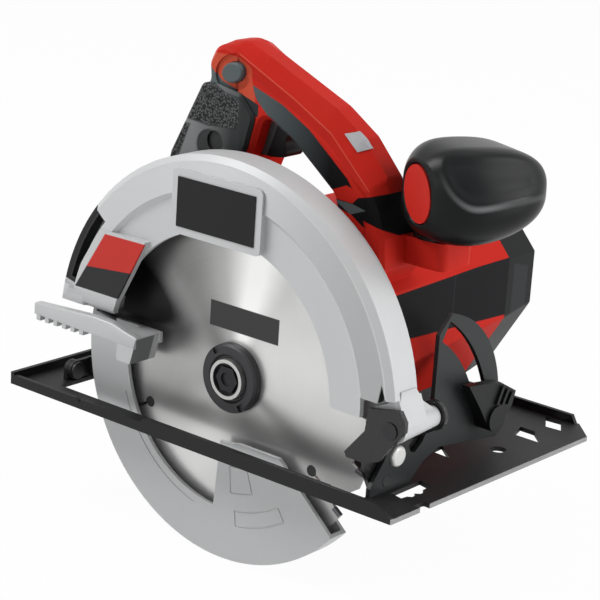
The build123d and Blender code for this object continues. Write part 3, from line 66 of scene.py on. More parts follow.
MM = 0.001
CAD_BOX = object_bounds()
BLADE_LOW, BLADE_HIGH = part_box("blade")
BLADE_RADIUS = (BLADE_HIGH.z - BLADE_LOW.z) / 2
BLADE_THICKNESS = BLADE_HIGH.y - BLADE_LOW.y
ARBOR = (BLADE_LOW + BLADE_HIGH) / 2
JOINT_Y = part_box("motor_housing")[0].y

# The places that follow are in millimetres. Y counts from the joint face of guard and motor, z from the sole.
# Outlines are pairs of x and z, or of y and z on faces that look forwards, and run anticlockwise.
AXLE = (0, ARBOR.z / MM)

# Angles, in degrees, at which an edge counts as flat, is split for shading, or is rounded
FLAT_ANGLE, SPLIT_ANGLE, SHARP_ANGLE = 0.4, 32, 35

# Upper guard
GUARD_CENTRE = (-1.5, 38.5)
BAND_RADIUS = 96.5
BAND_Y = -26.8
CONE_WIDTH = 15.0
CONE_SLOPE = -0.5
BADGE = [(-100.6, 64.3), (-68.9, 64.3), (-51.2, 97.9), (-79.9, 97.4)]
BADGE_Y = -26.6
BADGE_SPLIT = (-93.3, 77)
BADGE_SPLIT_SLOPE = 0.098
# Dust exit and front notch, whose insides are painted dark as painted shade
DUST_RADIUS = 101
DUST_FRONT_Y, DUST_BACK_Y = -24.6, -14
DUST_ANGLES = (141.5, 166.5)
NOTCH = [(103.5, 53), (109, 55), (105.8, 64)]
NOTCH_LEVEL = -26
NOTCH_LEAN = (0.72, 0.33)
NOTCH_FRONT_Y, NOTCH_BACK_Y = -25.9, -10

# Lift lever of the lower guard: its end face, which is painted in shade, and its sleeve
LEVER_Y = -20.5
LEVER_TOP = 48.4
LEVER_END = (-52.3, 34)
LEVER_END_SLOPE = 0.267
SLEEVE = [
    (-124.4, 43.9), (-48.2, 42.9), (-48.2, 49.2), (-56, 50.6), (-66, 53.0), (-80, 53.4), (-124.4, 50.4),
]
SLEEVE_FRONT_Y = -34.6
SLEEVE_DEPTH = 5.4
SLEEVE_ROUNDING = 0.9

# Blade: painted bright and dark reflections and the painted shadow of the guard, as soft sectors with middle
# angle, half width and strength; tips and plugs
BRIGHT_REFLECTION_SECTORS = [(28, 95, 0.3), (80, 22, 0.5), (-112, 52, 0.35)]
DARK_REFLECTION_SECTORS = [(128, 34, 0.2), (-24, 16, 0.25)]
GUARD_SHADE = [(158, 24, 0.7)]
SHADE_START, SHADE_LENGTH = 22, 46
BLADE_BAR = [(-18.7, 60), (27.7, 60), (27.7, 73.6), (-18.7, 73.6)]
BLADE_FACE_Y = -10.5
BOLT_RING_RADIUS = 8.7
TEETH = 20
TIP_LEAD = 0.4
TIP_HEIGHT = 2.2
TIP_DROP = -0.6
TIP_SINK = 0.05
TIP_ROUNDING = 0.25
KERF_SHARE = 1.35
SLOT_PITCH_RADIUS = 65
SLOT_ANGLES = (-33, -153)
PLUG_RADIUS = 2.98
PLUG_SHARE = 0.7
PLUG_ROUNDING = 0.2

# Motor housing and end cap
PANEL = [(18, 65.6), (127, 60.5), (127, 93.5), (18, 90)]
PANEL_X = 71.6
PANEL_SPLIT_Y = 76
CAP_FACET = [(131, 60), (146, 58), (146, 84), (131, 88)]
CAP_FACET_X = 66

# Handle
NEAR_SIDE_Y = 12.6
INLAY = [
    (-16.8, 184.2), (-12.5, 177), (-6, 167), (12, 156), (38, 134), (62, 126), (56, 143), (48.9, 148.4),
    (43.4, 155.2), (28, 165.6), (4.5, 177.4),
]
INLAY_FADE_X, INLAY_FADE_LENGTH = -8, 46
POST_TOP, POST_TOP_SLOPE = (66, 142.5), 0.25
POST_FOOT, POST_FOOT_SLOPE = (60, 129.4), -0.2
POST_FOOT_Y, POST_FOOT_LEAN = 9, 0.33
POST_REAR_X, POST_LOW_Z = 43, 122.3
WEDGE = [(34.9, 138.8), (41.1, 137), (53.2, 136.7), (58.9, 142.5), (48.9, 144.9)]
FOOT = [(41, 136.6), (52.3, 130.9), (61.8, 134.6), (53.2, 136.4)]
# Field round the lock button, painted a lighter orange red as a painted highlight
BUTTON_FIELD = [
    (-44, 182), (-37, 177.5), (-14, 173), (-13, 176), (-18, 192), (-26, 196), (-34, 196.6), (-44, 196),
]
HEM, HEM_SLOPES = (-37.4, 182.5), (-0.31, -0.89)
HEM_FRONT_X, HEM_LOW_Z = -11, 168
HEM_FADE_X, HEM_FADE_LENGTH = -42, 24
HANDLE_MIDDLE_Y = 25
# Crease of the bar: a bump tilts the side below it, and a painted highlight runs along it
CREASE_LEVEL = 10.7
CREASE_LEAN = (0.785, 0.275)
CREASE_LINES = [(185.51, 0.4412), (186.35, 0.5185), (200.62, 0.924)]
CREASE_REAR_X, CREASE_FRONT_X, CREASE_LOW_Z = -27, 62, 144
CREASE_WIDTH, CREASE_DROP, CREASE_SLOPE = 0.4, -6.0, 0.4
TRIGGER_FACE, TRIGGER_SLOPE = (-7.5, 158), 0.35
FOIL = [(39.6, 15.8, 168.1), (45.8, 20.5, 169.6), (54.1, 20.9, 162.6), (49.1, 15.1, 160.7)]
FOIL_LIFT, FOIL_THICKNESS = 0.35, 0.1

# Rear grip
COLLAR, COLLAR_SLOPE, COLLAR_X = (-42.3, 181.4), -0.38, -22
SADDLE, SADDLE_SLOPE = (-43, 158.2), 0.08
SADDLE_REAR, SADDLE_REAR_SLOPE = (-54.8, 156.8), 0.393
BOSS, BOSS_RADIUS = (-40.8, 147.6), 8.4
COLLAR_FADE_X, COLLAR_FADE_LENGTH = -42, 22
SADDLE_FADE_X, SADDLE_FADE_LENGTH = -52, 26
PEBBLES = 860.0

# Front knob: the scoop's outline as it is seen along a slanting line through the knob's middle
SCOOP = [
    (88, 146), (101.3, 140.5), (122.5, 147), (160, 164), (160, 177), (118, 171), (102.8, 168.5),
    (87.3, 165.5), (82, 157.7),
]
SCOOP_LEVEL = 41
SCOOP_LEAN = (0.73, 0.31)
SCOOP_SOFT = 9.0
SCOOP_MARGIN, SCOOP_SLOPE = 2, 6
SCOOP_END_Y, SCOOP_FADE = 60, 24.0
SCOOP_DEPTH = 2.2
# Painted highlight along the scoop's lower edge, strongest round the glint
GLINT_AT, GLINT_REACH = 106.0, 24.0
LIP_AT, LIP_REACH, LIP_TOP_Z = -1.0, 2.4, 160
KNOB_GRID = 0.8

# Shoe and bevel quadrant
SHOE_FRONT_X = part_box("shoe")[1].x / MM
EDGE_HIGHLIGHT_DEPTH = 0.4
RIVET, RIVET_RADIUS, RIVET_X = (-0.6, 19.4), 6.2, 99.55

# Studio: lamps with offset from the middle of the part, size and power; camera as fitted to the photograph
FLOOR_SIZE = 8
PAPER_SHARE = 0.97
WORLD_LIGHT = 0.18
LAMPS = [
    ("key", (-0.9, -0.8, 1.3), 0.7, 18.0),
    ("front", (-0.5, -1.5, 0.2), 0.8, 3.0),
    ("fill", (1.4, 0.8, 1.1), 0.9, 14.0),
    ("top", (0.2, 0.3, 1.7), 0.9, 3.0),
    ("low", (1.5, 0.6, 0.12), 0.6, 9.0),
]
CAMERA_ROUND, CAMERA_UP, CAMERA_ROLL = 38.81, 16.97, 3.80
CAMERA_DISTANCE, FOCAL_PIXELS, FRAME_PIXELS = 1.14195, 2181.97, 600
AIM_RIGHT, AIM_UP = 0.03021, 0.07160
SENSOR_WIDTH = 36


def tone(red, green, blue):
    """Linear colour of three screen values from 0 to 255."""
    screen = [value / 255 for value in (red, green, blue)]
    return tuple(v / 12.92 if v <= 0.04045 else ((v + 0.055) / 1.055) ** 2.4 for v in screen)


# Colours of small places, painted highlights and painted shade among them, and of the pieces inside
LEVER_END_SHADE = tone(122, 123, 124)
FLANGE_OXIDE = tone(58, 58, 60)
SOCKET_SHADE = tone(46, 46, 48)
RING_DULL, RING_BRIGHT = tone(170, 170, 168), tone(205, 205, 203)
CARBIDE = tone(96, 96, 100)
PLUG_RESIN = tone(30, 30, 31)
BUTTON_FIELD_HIGHLIGHT = tone(206, 84, 60)
CREASE_HIGHLIGHT = tone(226, 104, 84)
SADDLE_REAR_GREY, SADDLE_FRONT_GREY = tone(128, 129, 130), tone(40, 42, 43)
BOSS_GREY = tone(44, 45, 46)
PEBBLE_GREY = tone(92, 93, 94)
FOIL_GREY = tone(160, 160, 162)
LIP_HIGHLIGHT = tone(150, 151, 153)
EDGE_HIGHLIGHT_GREY = tone(172, 172, 173)
RIVET_PLATE = tone(226, 226, 224)
BLACK_OXIDE = tone(44, 44, 46)
MACHINED_STEEL = tone(165, 166, 168)
LAMINATIONS = tone(82, 82, 84)
COPPER = tone(196, 128, 84)
CARBON = tone(40, 40, 42)
PAPER, PAPER_DIM, PAPER_LIGHT = (0.9, 0.9, 0.9), (0.88, 0.88, 0.88), (0.92, 0.92, 0.92)
WHITE = (1, 1, 1, 1)


def colour(label, about, red, green, blue):
    """Colour property with its default in screen values."""
    return FloatVectorProperty(
        name=label, description=about, subtype="COLOR", size=3, min=0, max=1, default=tone(red, green, blue)
    )


def length(label, about, millimetres):
    """Length property with its default in millimetres."""
    return FloatProperty(name=label, description=about, unit="LENGTH", min=0, default=millimetres * MM)


class SawColours(bpy.types.PropertyGroup):
    """Colours of the finishes."""

    casting: colour("Casting", "Silver paint of the upper guard", 204, 205, 206)
    guard: colour("Lower guard", "Grey paint of the swinging guard", 196, 197, 198)
    steel: colour("Blade steel", "Ground face of the blade", 214, 214, 213)
    red: colour("Red", "Moulded red of handle and housing", 200, 42, 32)
    black: colour("Black", "Moulded black of cap and levers", 18, 19, 20)
    grey: colour("Grey", "Soft grey inlays of the handle", 88, 96, 98)
    rubber: colour("Rubber", "Pebbled grip and knob", 18, 19, 20)
    sheet: colour("Sheet", "Black paint of the stamped shoe", 22, 22, 23)
    quadrant: colour("Quadrant", "Dark grey of the bevel quadrant", 37, 39, 40)
    panel: colour("Panel", "Bare panels", 25, 25, 27)
    zinc: colour("Zinc", "Plated fasteners", 190, 189, 184)


class SawSizes(bpy.types.PropertyGroup):
    """Sizes of the dressing."""

    edge: length("Edge", "Softening of moulded edges", 0.9)
    fine_edge: length("Fine edge", "Softening of machined and stamped edges", 0.35)
    tip: length("Tooth tip", "Length of a brazed tooth tip", 5.5)


class Paint:
    """A shader socket that can be used in sums, with a method that adds any other node."""

    def __init__(self, tree, socket):
        self.tree = tree
        self.socket = socket

    def node(self, kind, settings=None, sockets=None, output=0):
        """Adds a node: its settings first, then the values or links of its sockets."""
        made = self.tree.nodes.new("ShaderNode" + kind)
        for key, value in (settings or {}).items():
            setattr(made, key, value)
        for key, value in (sockets or {}).items():
            if isinstance(value, Paint):
                self.tree.links.new(value.socket, made.inputs[key])
            else:
                made.inputs[key].default_value = value
        return Paint(self.tree, made.outputs[output])

    def maths(self, operation, first, second=0.0, clamp=False):
        return self.node("Math", {"operation": operation, "use_clamp": clamp}, {0: first, 1: second})

    def __add__(self, other):
        return self.maths("ADD", self, other)

    __radd__ = __add__

    def __sub__(self, other):
        return self.maths("SUBTRACT", self, other)

    def __rsub__(self, other):
        return self.maths("SUBTRACT", other, self)

    def __mul__(self, other):
        return self.maths("MULTIPLY", self, other)

    __rmul__ = __mul__

    def __truediv__(self, other):
        return self.maths("DIVIDE", self, other)

    def least(self, other):
        return self.maths("MINIMUM", self, other)

    def most(self, other):
        return self.maths("MAXIMUM", self, other)

    def size(self):
        return self.maths("ABSOLUTE", self)

    def limit(self):
        """The value kept between 0 and 1."""
        return self.maths("ADD", self, 0.0, clamp=True)

    def melt(self, other, soft):
        """The lesser of two values, with a rounded change between them."""
        return self.node("Math", {"operation": "SMOOTH_MIN"}, {0: self, 1: other, 2: soft})

    def inside(self, soft=0.4):
        """1 where the value is above zero, with a soft border."""
        return self.maths("ADD", self / soft, 0.5, clamp=True)

    def rise(self, start, run):
        """0 before the start, 1 after the run, straight between them."""
        return ((self - start) / run).limit()

    def smooth(self):
        """A share from 0 to 1 with soft ends."""
        return self * self * (3 - self * 2)

    def lobe(self, centre, reach):
        """1 at the centre, falling smoothly to 0 at the reach."""
        return (1 - (self - centre).size() / reach).limit().smooth()


class Finish:
    """One material: its shader, and the place on the surface that its patterns are drawn from."""

    def __init__(self, name, base, roughness, metallic=0.0, **constants):
        self.material = bpy.data.materials.new(name)
        self.material.use_nodes = True
        self.tree = self.material.node_tree
        self.tree.nodes.clear()
        self.out = self.tree.nodes.new("ShaderNodeOutputMaterial")
        self.shader = self.tree.nodes.new("ShaderNodeBsdfPrincipled")
        self.tree.links.new(self.shader.outputs[0], self.out.inputs[0])
        self.object = Paint(self.tree, self.tree.nodes.new("ShaderNodeTexCoord").outputs["Object"])
        self.shader.inputs["Base Color"].default_value = (*base, 1)
        self.shader.inputs["Roughness"].default_value = roughness
        self.shader.inputs["Metallic"].default_value = metallic
        for key, value in constants.items():
            self.shader.inputs[key.replace("_", " ")].default_value = value

    def feed(self, socket, value):
        self.tree.links.new(value.socket, self.shader.inputs[socket])

    def spot(self):
        """Place in millimetres, as a vector and as its three parts, with y counted from the joint face."""
        moved = self.object.node(
            "VectorMath", {"operation": "MULTIPLY_ADD"},
            {0: self.object, 1: (1000, 1000, 1000), 2: (0, -JOINT_Y * 1000, 0)},
        )
        parts = [moved.node("SeparateXYZ", None, {0: moved}, index) for index in range(3)]
        return moved, *parts

    def reach(self, spot, x, z):
        """Distance in millimetres from an axis that runs along y."""
        off = spot.node("VectorMath", {"operation": "SUBTRACT"}, {0: spot, 1: (x, 0, z)})
        off = off.node("VectorMath", {"operation": "MULTIPLY"}, {0: off, 1: (1, 0, 1)})
        return off.node("VectorMath", {"operation": "LENGTH"}, {0: off}, 1)

    def turn(self, x, z, centre):
        """Angle round an axis that runs along y."""
        return x.maths("ARCTAN2", z - centre[1], x - centre[0])

    def noise(self, scale, detail=3.0, rough=0.55, squeeze=(1, 1, 1)):
        """Noise value whose grain is about 1 / scale metres."""
        place = self.object.node("VectorMath", {"operation": "MULTIPLY"}, {0: self.object, 1: squeeze})
        sockets = {"Vector": place, "Scale": scale, "Detail": detail, "Roughness": rough}
        return place.node("TexNoise", None, sockets)

    def flow(self, scale):
        """Slow change, as from the flow of a moulding."""
        return self.noise(scale, 4.0, 0.6)

    def cloud(self, scale):
        """Slow soft change, as in sprayed paint."""
        return self.noise(scale, 3.0, 0.5)

    def spark(self, scale):
        """Fine even texture, as from a spark-finished mould."""
        return self.noise(scale, 2.0, 0.5)

    def grit(self, scale, squeeze=(1, 1, 1)):
        """Fine rough texture, as of cast or brushed metal."""
        return self.noise(scale, 3.0, 0.6, squeeze)

    def mix(self, factor, first, second):
        """Colour between two colours."""
        sockets = {"Factor": factor}
        for key, value in ((6, first), (7, second)):
            sockets[key] = value if isinstance(value, Paint) else (*value, 1)
        return self.object.node("Mix", {"data_type": "RGBA"}, sockets, 2)

    def relief(self, height, strength, distance):
        """Normal of a height in units of the distance."""
        return self.object.node("Bump", None, {"Strength": strength, "Distance": distance, "Height": height})

    def bump(self, height, strength, distance):
        """Feeds the normal from a height."""
        self.feed("Normal", self.relief(height, strength, distance))

    def lean(self, factor, first, second):
        """Normal between two normals."""
        between = self.object.node("Mix", {"data_type": "VECTOR"}, {0: factor, 4: first, 5: second}, 1)
        return between.node("VectorMath", {"operation": "NORMALIZE"}, {0: between})


def shade(colour_value, amount):
    """Colour made darker or lighter by a factor."""
    return tuple(min(1.0, part * amount) for part in colour_value)


def above(x, z, start, slope):
    """Height of z over a sloping line through the start."""
    return z - start[1] - (x - start[0]) * slope


def under(x, z, start, slope):
    """Depth of z below a sloping line through the start."""
    return start[1] + (x - start[0]) * slope - z


def ahead(x, z, start, slope):
    """Distance of x in front of a steep line through the start."""
    return x - start[0] - (z - start[1]) * slope


def slanted(x, y, z, level, lean):
    """A point's x and z after it slid along a slanting line to the level in y."""
    return x + (y - level) * lean[0], z + (y - level) * lean[1]


def convex(u, w, points, soft=0.0):
    """Distance inside a convex outline, positive within it; soft rounds the corners."""
    field = None
    for (u0, w0), (u1, w1) in zip(points, points[1:] + points[:1]):
        run = math.hypot(u1 - u0, w1 - w0)
        a, b = -(w1 - w0) / run, (u1 - u0) / run
        edge = u * a + w * b + (-a * u0 - b * w0)
        if field is None:
            field = edge
        else:
            field = field.melt(edge, soft) if soft else field.least(edge)
    return field


def scoop(u, w):
    """How far, from 0 to 1, a point lies in the knob's thumb scoop: the field of its paint, in numbers."""
    field = None
    for (u0, w0), (u1, w1) in zip(SCOOP, SCOOP[1:] + SCOOP[:1]):
        edge = ((u1 - u0) * (w - w0) - (w1 - w0) * (u - u0)) / math.hypot(u1 - u0, w1 - w0)
        if field is None:
            field = edge
        else:
            close = max(SCOOP_SOFT - abs(field - edge), 0.0) / SCOOP_SOFT
            field = min(field, edge) - close ** 3 * SCOOP_SOFT / 6
    share = min(max((field + SCOOP_MARGIN) / SCOOP_SLOPE, 0.0), 1.0)
    return share * share * (3 - share * 2)


def sectors(turn, rows):
    """Sum of soft sectors, each with its middle angle, half width and strength."""
    total = 0.0
    for middle, half, strength in rows:
        total = turn.lobe(math.radians(middle), math.radians(half)) * strength + total
    return total


def soften(names, width):
    """Rounds the sharp edges of CAD nodes with modifiers; their own vertices stay as they are."""
    for name in names:
        node = NODES[name]
        for polygon in node.data.polygons:
            polygon.use_smooth = True
        weld = node.modifiers.new("weld", "WELD")
        weld.merge_threshold = 1e-6
        flat = node.modifiers.new("flat", "DECIMATE")
        flat.decimate_type = "DISSOLVE"
        flat.angle_limit = math.radians(FLAT_ANGLE)
        round_off = node.modifiers.new("round_off", "BEVEL")
        round_off.width = width
        round_off.segments = 2
        round_off.limit_method = "ANGLE"
        round_off.angle_limit = math.radians(SHARP_ANGLE)
        round_off.use_clamp_overlap = True
        split = node.modifiers.new("split", "EDGE_SPLIT")
        split.split_angle = math.radians(SPLIT_ANGLE)
        split.use_edge_sharp = False
        weighted = node.modifiers.new("weighted", "WEIGHTED_NORMAL")
        weighted.keep_sharp = True


def cover(names, finish):
    """Gives CAD nodes a finish."""
    for name in names:
        node = NODES[name]
        node.data.materials.clear()
        node.data.materials.append(finish.material)


def moulded(name, base, roughness):
    """Moulded plastic: fine spark texture, faint flow marks in colour and gloss."""
    finish = Finish(name, base, roughness, Specular_IOR_Level=0.2)
    flow = finish.flow(28.0)
    fine = finish.spark(2600.0)
    finish.feed("Base Color", finish.mix(flow, shade(base, 0.9), shade(base, 1.08)))
    finish.feed("Roughness", flow * 0.12 + fine * 0.06 + (roughness - 0.09))
    finish.bump(fine, 0.35, 0.05 * MM)
    return finish


def metal(name, base, roughness, metallic, along=(1, 1, 1), grain=900.0):
    """Machined or painted metal with faint brush lines and cloudy gloss."""
    finish = Finish(name, base, roughness, metallic)
    flow = finish.flow(18.0)
    lines = finish.grit(grain, along)
    finish.feed("Base Color", finish.mix(lines * 0.6 + flow * 0.4, shade(base, 0.86), shade(base, 1.1)))
    finish.feed("Roughness", lines * 0.14 + flow * 0.1 + (roughness - 0.12))
    finish.bump(lines, 0.15, 0.03 * MM)
    return finish


def place(x, y, z):
    """Point in the part's frame from millimetres counted from the joint face."""
    return Vector((x * MM, JOINT_Y + y * MM, z * MM))


def start_clean():
    """Leaves nothing selected and no mode open."""
    if bpy.context.object and bpy.context.object.mode != "OBJECT":
        bpy.ops.object.mode_set(mode="OBJECT")
    bpy.ops.object.select_all(action="DESELECT")


def round_edges(offset, segments=2):
    """Bevels every edge of the active piece."""
    bpy.ops.object.mode_set(mode="EDIT")
    bpy.ops.mesh.select_all(action="SELECT")
    bpy.ops.mesh.bevel(offset=offset, segments=segments, affect="EDGES")
    bpy.ops.object.mode_set(mode="OBJECT")


def face_outwards():
    """Turns every face of the active piece outwards."""
    bpy.ops.object.mode_set(mode="EDIT")
    bpy.ops.mesh.select_all(action="SELECT")
    bpy.ops.mesh.normals_make_consistent(inside=False)
    bpy.ops.object.mode_set(mode="OBJECT")


def join(pieces):
    """Joins pieces to the first one, which stays active."""
    start_clean()
    for piece in pieces:
        piece.select_set(True)
    bpy.context.view_layer.objects.active = pieces[0]
    bpy.ops.object.join()


def new_piece(name, body, finish):
    """Names the active object, puts its place into its mesh and lets it ride on a body."""
    piece = bpy.context.active_object
    piece.name = name
    piece.data.name = name
    bpy.ops.object.mode_set(mode="OBJECT")
    bpy.ops.object.select_all(action="DESELECT")
    piece.select_set(True)
    bpy.ops.object.transform_apply(location=True, rotation=True, scale=True)
    piece.data.materials.clear()
    piece.data.materials.append(finish.material)
    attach(piece, body)


class SAW_OT_casting(bpy.types.Operator):
    """Paints the upper guard, its bare badge and the bare plate, with painted shade inside the dust exit and
    the front notch.
    """

    bl_idname = "saw.casting"
    bl_label = "Upper guard"

    def execute(self, context):
        colours = context.scene.saw_colours
        sizes = context.scene.saw_sizes
        base = tuple(colours.casting)
        panel = tuple(colours.panel)
        finish = Finish("silver_casting", base, 0.45, 0.1, Specular_IOR_Level=0.3)
        spot, x, y, z = finish.spot()
        grain = finish.grit(1500.0)
        cloud = finish.cloud(14.0)
        silver = finish.mix(cloud * 0.7 + grain * 0.3, shade(base, 0.92), shade(base, 1.06))
        badge = convex(x, z, BADGE).inside() * (BADGE_Y - y).inside()
        upper = above(x, z, BADGE_SPLIT, BADGE_SPLIT_SLOPE).inside()
        field = finish.mix(upper, panel, tuple(colours.red))
        out = finish.reach(spot, *GUARD_CENTRE)
        turn = finish.turn(x, z, GUARD_CENTRE)
        low, high = (math.radians(angle) for angle in DUST_ANGLES)
        # Painted shade: inside the dust exit and behind the front notch the casting is painted dark, where
        # shade falls.
        hollow = (out - DUST_RADIUS).inside(0.5) * (y - DUST_FRONT_Y).inside() * (DUST_BACK_Y - y).inside()
        hollow = hollow * (turn - low).inside(0.005) * (high - turn).inside(0.005)
        notch = convex(*slanted(x, y, z, NOTCH_LEVEL, NOTCH_LEAN), NOTCH).inside(0.3)
        notch = notch * (y - NOTCH_FRONT_Y).inside(0.2) * (NOTCH_BACK_Y - y).inside()
        hollow = hollow.most(notch)
        painted = finish.mix(hollow, silver, shade(panel, 0.5))
        finish.feed("Base Color", finish.mix(badge, painted, field))
        marked = badge.most(hollow)
        finish.feed("Metallic", (1 - marked) * 0.1)
        finish.feed("Roughness", grain * 0.14 + cloud * 0.1 + 0.3)
        height = grain * (1 - marked) * 0.015
        cone = (out - BAND_RADIUS).most(0.0).least(CONE_WIDTH) * CONE_SLOPE
        flat, leaning = finish.relief(height, 1.0, MM), finish.relief(cone + height, 1.0, MM)
        finish.feed("Normal", finish.lean((y - BAND_Y).inside(0.2), flat, leaning))
        cover(["upper_guard"], finish)
        soften(["upper_guard"], sizes.edge * 0.6)
        cover(["guard_plate"], moulded("bare_plate", panel, 0.4))
        soften(["guard_plate"], sizes.fine_edge * 0.5)
        return {"FINISHED"}


class SAW_OT_lower_guard(bpy.types.Operator):
    """Paints the swinging guard, with painted shade on the end face of its lift lever, and models the sleeve
    of that lever.
    """

    bl_idname = "saw.lower_guard"
    bl_label = "Lower guard"

    def execute(self, context):
        sizes = context.scene.saw_sizes
        base = tuple(context.scene.saw_colours.guard)
        finish = Finish("guard_paint", base, 0.4, 0.2, Specular_IOR_Level=0.3)
        _, x, y, z = finish.spot()
        grain = finish.grit(1400.0)
        cloud = finish.cloud(16.0)
        paint = finish.mix(cloud * 0.6 + grain * 0.4, shade(base, 0.88), shade(base, 1.07))
        # Painted shade: the end face of the lift lever is painted a darker grey.
        lever_end_shade = (LEVER_Y - y).inside() * (LEVER_TOP - z).inside(0.5)
        lever_end_shade = lever_end_shade * ahead(x, z, LEVER_END, LEVER_END_SLOPE).inside(0.3)
        finish.feed("Base Color", finish.mix(lever_end_shade, paint, LEVER_END_SHADE))
        finish.feed("Roughness", grain * 0.14 + cloud * 0.1 + 0.3)
        finish.bump(grain, 0.2, 0.05 * MM)
        cover(["lower_guard"], finish)
        soften(["lower_guard"], sizes.fine_edge)
        self.sleeve(context, finish)
        return {"FINISHED"}

    @staticmethod
    def sleeve(context, finish):
        """Models the moulded sleeve that thickens the lift lever above its ridges."""
        start_clean()
        bpy.ops.mesh.primitive_circle_add(vertices=len(SLEEVE), fill_type="NGON")
        for vertex, (x, z) in zip(context.active_object.data.vertices, SLEEVE):
            vertex.co = place(x, SLEEVE_FRONT_Y, z)
        bpy.ops.object.mode_set(mode="EDIT")
        bpy.ops.mesh.select_all(action="SELECT")
        bpy.ops.mesh.extrude_region_move(TRANSFORM_OT_translate={"value": (0, SLEEVE_DEPTH * MM, 0)})
        face_outwards()
        round_edges(SLEEVE_ROUNDING * MM, 3)
        bpy.ops.object.shade_smooth_by_angle(angle=math.radians(30))
        new_piece("lever_sleeve", "lower_guard", finish)


class SAW_OT_blade(bpy.types.Operator):
    """Grinds the blade, with painted reflections and the painted shadow of the guard, and finishes its
    flanges and bolt, with painted shade inside the bolt's ring.
    """

    bl_idname = "saw.blade"
    bl_label = "Blade"

    def execute(self, context):
        colours = context.scene.saw_colours
        sizes = context.scene.saw_sizes
        base = tuple(colours.steel)
        finish = Finish("ground_steel_painted_reflections", base, 0.3, 0.9)
        spot, x, y, z = finish.spot()
        radius = finish.reach(spot, *AXLE)
        turn = finish.turn(x, z, AXLE)
        rings = radius.node("CombineXYZ", None, {0: radius})
        lines = rings.node("TexNoise", None, {"Vector": rings, "Scale": 2.2, "Detail": 4.0, "Roughness": 0.7})
        cloud = finish.cloud(22.0)
        # Painted reflections and shadow: bright and dark sectors round the axle, and the guard's shadow,
        # lighten and darken the ground steel.
        dark_reflections_and_shadow = sectors(turn, DARK_REFLECTION_SECTORS) + sectors(turn, GUARD_SHADE) * radius.rise(SHADE_START, SHADE_LENGTH)
        light = lines * 0.22 + cloud * 0.22 + sectors(turn, BRIGHT_REFLECTION_SECTORS) - dark_reflections_and_shadow + 0.2
        ground = finish.mix(light.limit(), shade(base, 0.02), shade(base, 1.4))
        bar = convex(x, z, BLADE_BAR).inside() * (BLADE_FACE_Y - y).inside(0.2)
        finish.feed("Base Color", finish.mix(bar, ground, tuple(colours.panel)))
        finish.feed("Metallic", 0.75 - bar * 0.75)
        finish.feed("Roughness", lines * 0.2 + cloud * 0.14 + 0.16)
        finish.bump(lines, 0.12, 0.04 * MM)
        cover(["blade"], finish)
        soften(["blade"], sizes.fine_edge * 0.4)
        flanges = ["outer_flange", "inner_flange"]
        cover(flanges, metal("flange_oxide", FLANGE_OXIDE, 0.5, 0.6))
        bolt = Finish("bolt_zinc", tuple(colours.zinc), 0.35, 0.8)
        # Painted shade: inside the ring the bolt is painted dark, where its socket lies in shade.
        ring = (bolt.reach(bolt.spot()[0], *AXLE) - BOLT_RING_RADIUS).inside()
        grain = bolt.noise(1200.0)
        bolt.feed("Base Color", bolt.mix(ring, SOCKET_SHADE, bolt.mix(grain, RING_DULL, RING_BRIGHT)))
        bolt.feed("Roughness", grain * 0.2 + 0.28)
        bolt.bump(grain, 0.1, 0.03 * MM)
        cover(["blade_bolt"], bolt)
        soften([*flanges, "blade_bolt"], sizes.fine_edge)
        return {"FINISHED"}


class SAW_OT_tips(bpy.types.Operator):
    """Models one brazed tooth tip and sets a copy on each tooth."""

    bl_idname = "saw.tips"
    bl_label = "Tooth tips"

    def execute(self, context):
        size = context.scene.saw_sizes.tip
        reach = BLADE_RADIUS - size / 2 - TIP_SINK * MM
        start_clean()
        bpy.ops.mesh.primitive_cube_add(size=1, location=(0, 0, 0))
        tip = context.active_object
        tip.scale = (size, BLADE_THICKNESS * KERF_SHARE, TIP_HEIGHT * MM)
        bpy.ops.object.transform_apply(location=False, rotation=False, scale=True)
        round_edges(TIP_ROUNDING * MM)
        copies = []
        for tooth in range(TEETH):
            copy = tip.copy()
            copy.data = tip.data.copy()
            context.collection.objects.link(copy)
            angle = math.radians(tooth * 360 / TEETH + TIP_LEAD)
            turn = Matrix.Translation(ARBOR) @ Matrix.Rotation(-angle, 4, "Y")
            copy.matrix_world = turn @ Matrix.Translation((reach, 0, TIP_DROP * MM))
            copies.append(copy)
        bpy.data.objects.remove(tip)
        join(copies)
        new_piece("tooth_tips", "blade_set", metal("carbide", CARBIDE, 0.35, 0.8))
        return {"FINISHED"}


class SAW_OT_plugs(bpy.types.Operator):
    """Models the plug that closes the round end of each expansion slot."""

    bl_idname = "saw.plugs"
    bl_label = "Slot plugs"

    def execute(self, context):
        plugs = []
        for angle in SLOT_ANGLES:
            start_clean()
            turn = math.radians(angle)
            spot = ARBOR + Vector((math.cos(turn), 0, math.sin(turn))) * (SLOT_PITCH_RADIUS * MM)
            bpy.ops.mesh.primitive_cylinder_add(
                vertices=40, radius=PLUG_RADIUS * MM, depth=BLADE_THICKNESS * PLUG_SHARE, location=spot,
                rotation=(math.radians(90), 0, 0))
            plugs.append(context.active_object)
            round_edges(PLUG_ROUNDING * MM)
            bpy.ops.object.transform_apply(location=True, rotation=True, scale=True)
        join(plugs)
        new_piece("slot_plugs", "blade_set", metal("plug_resin", PLUG_RESIN, 0.5, 0.1))
        return {"FINISHED"}


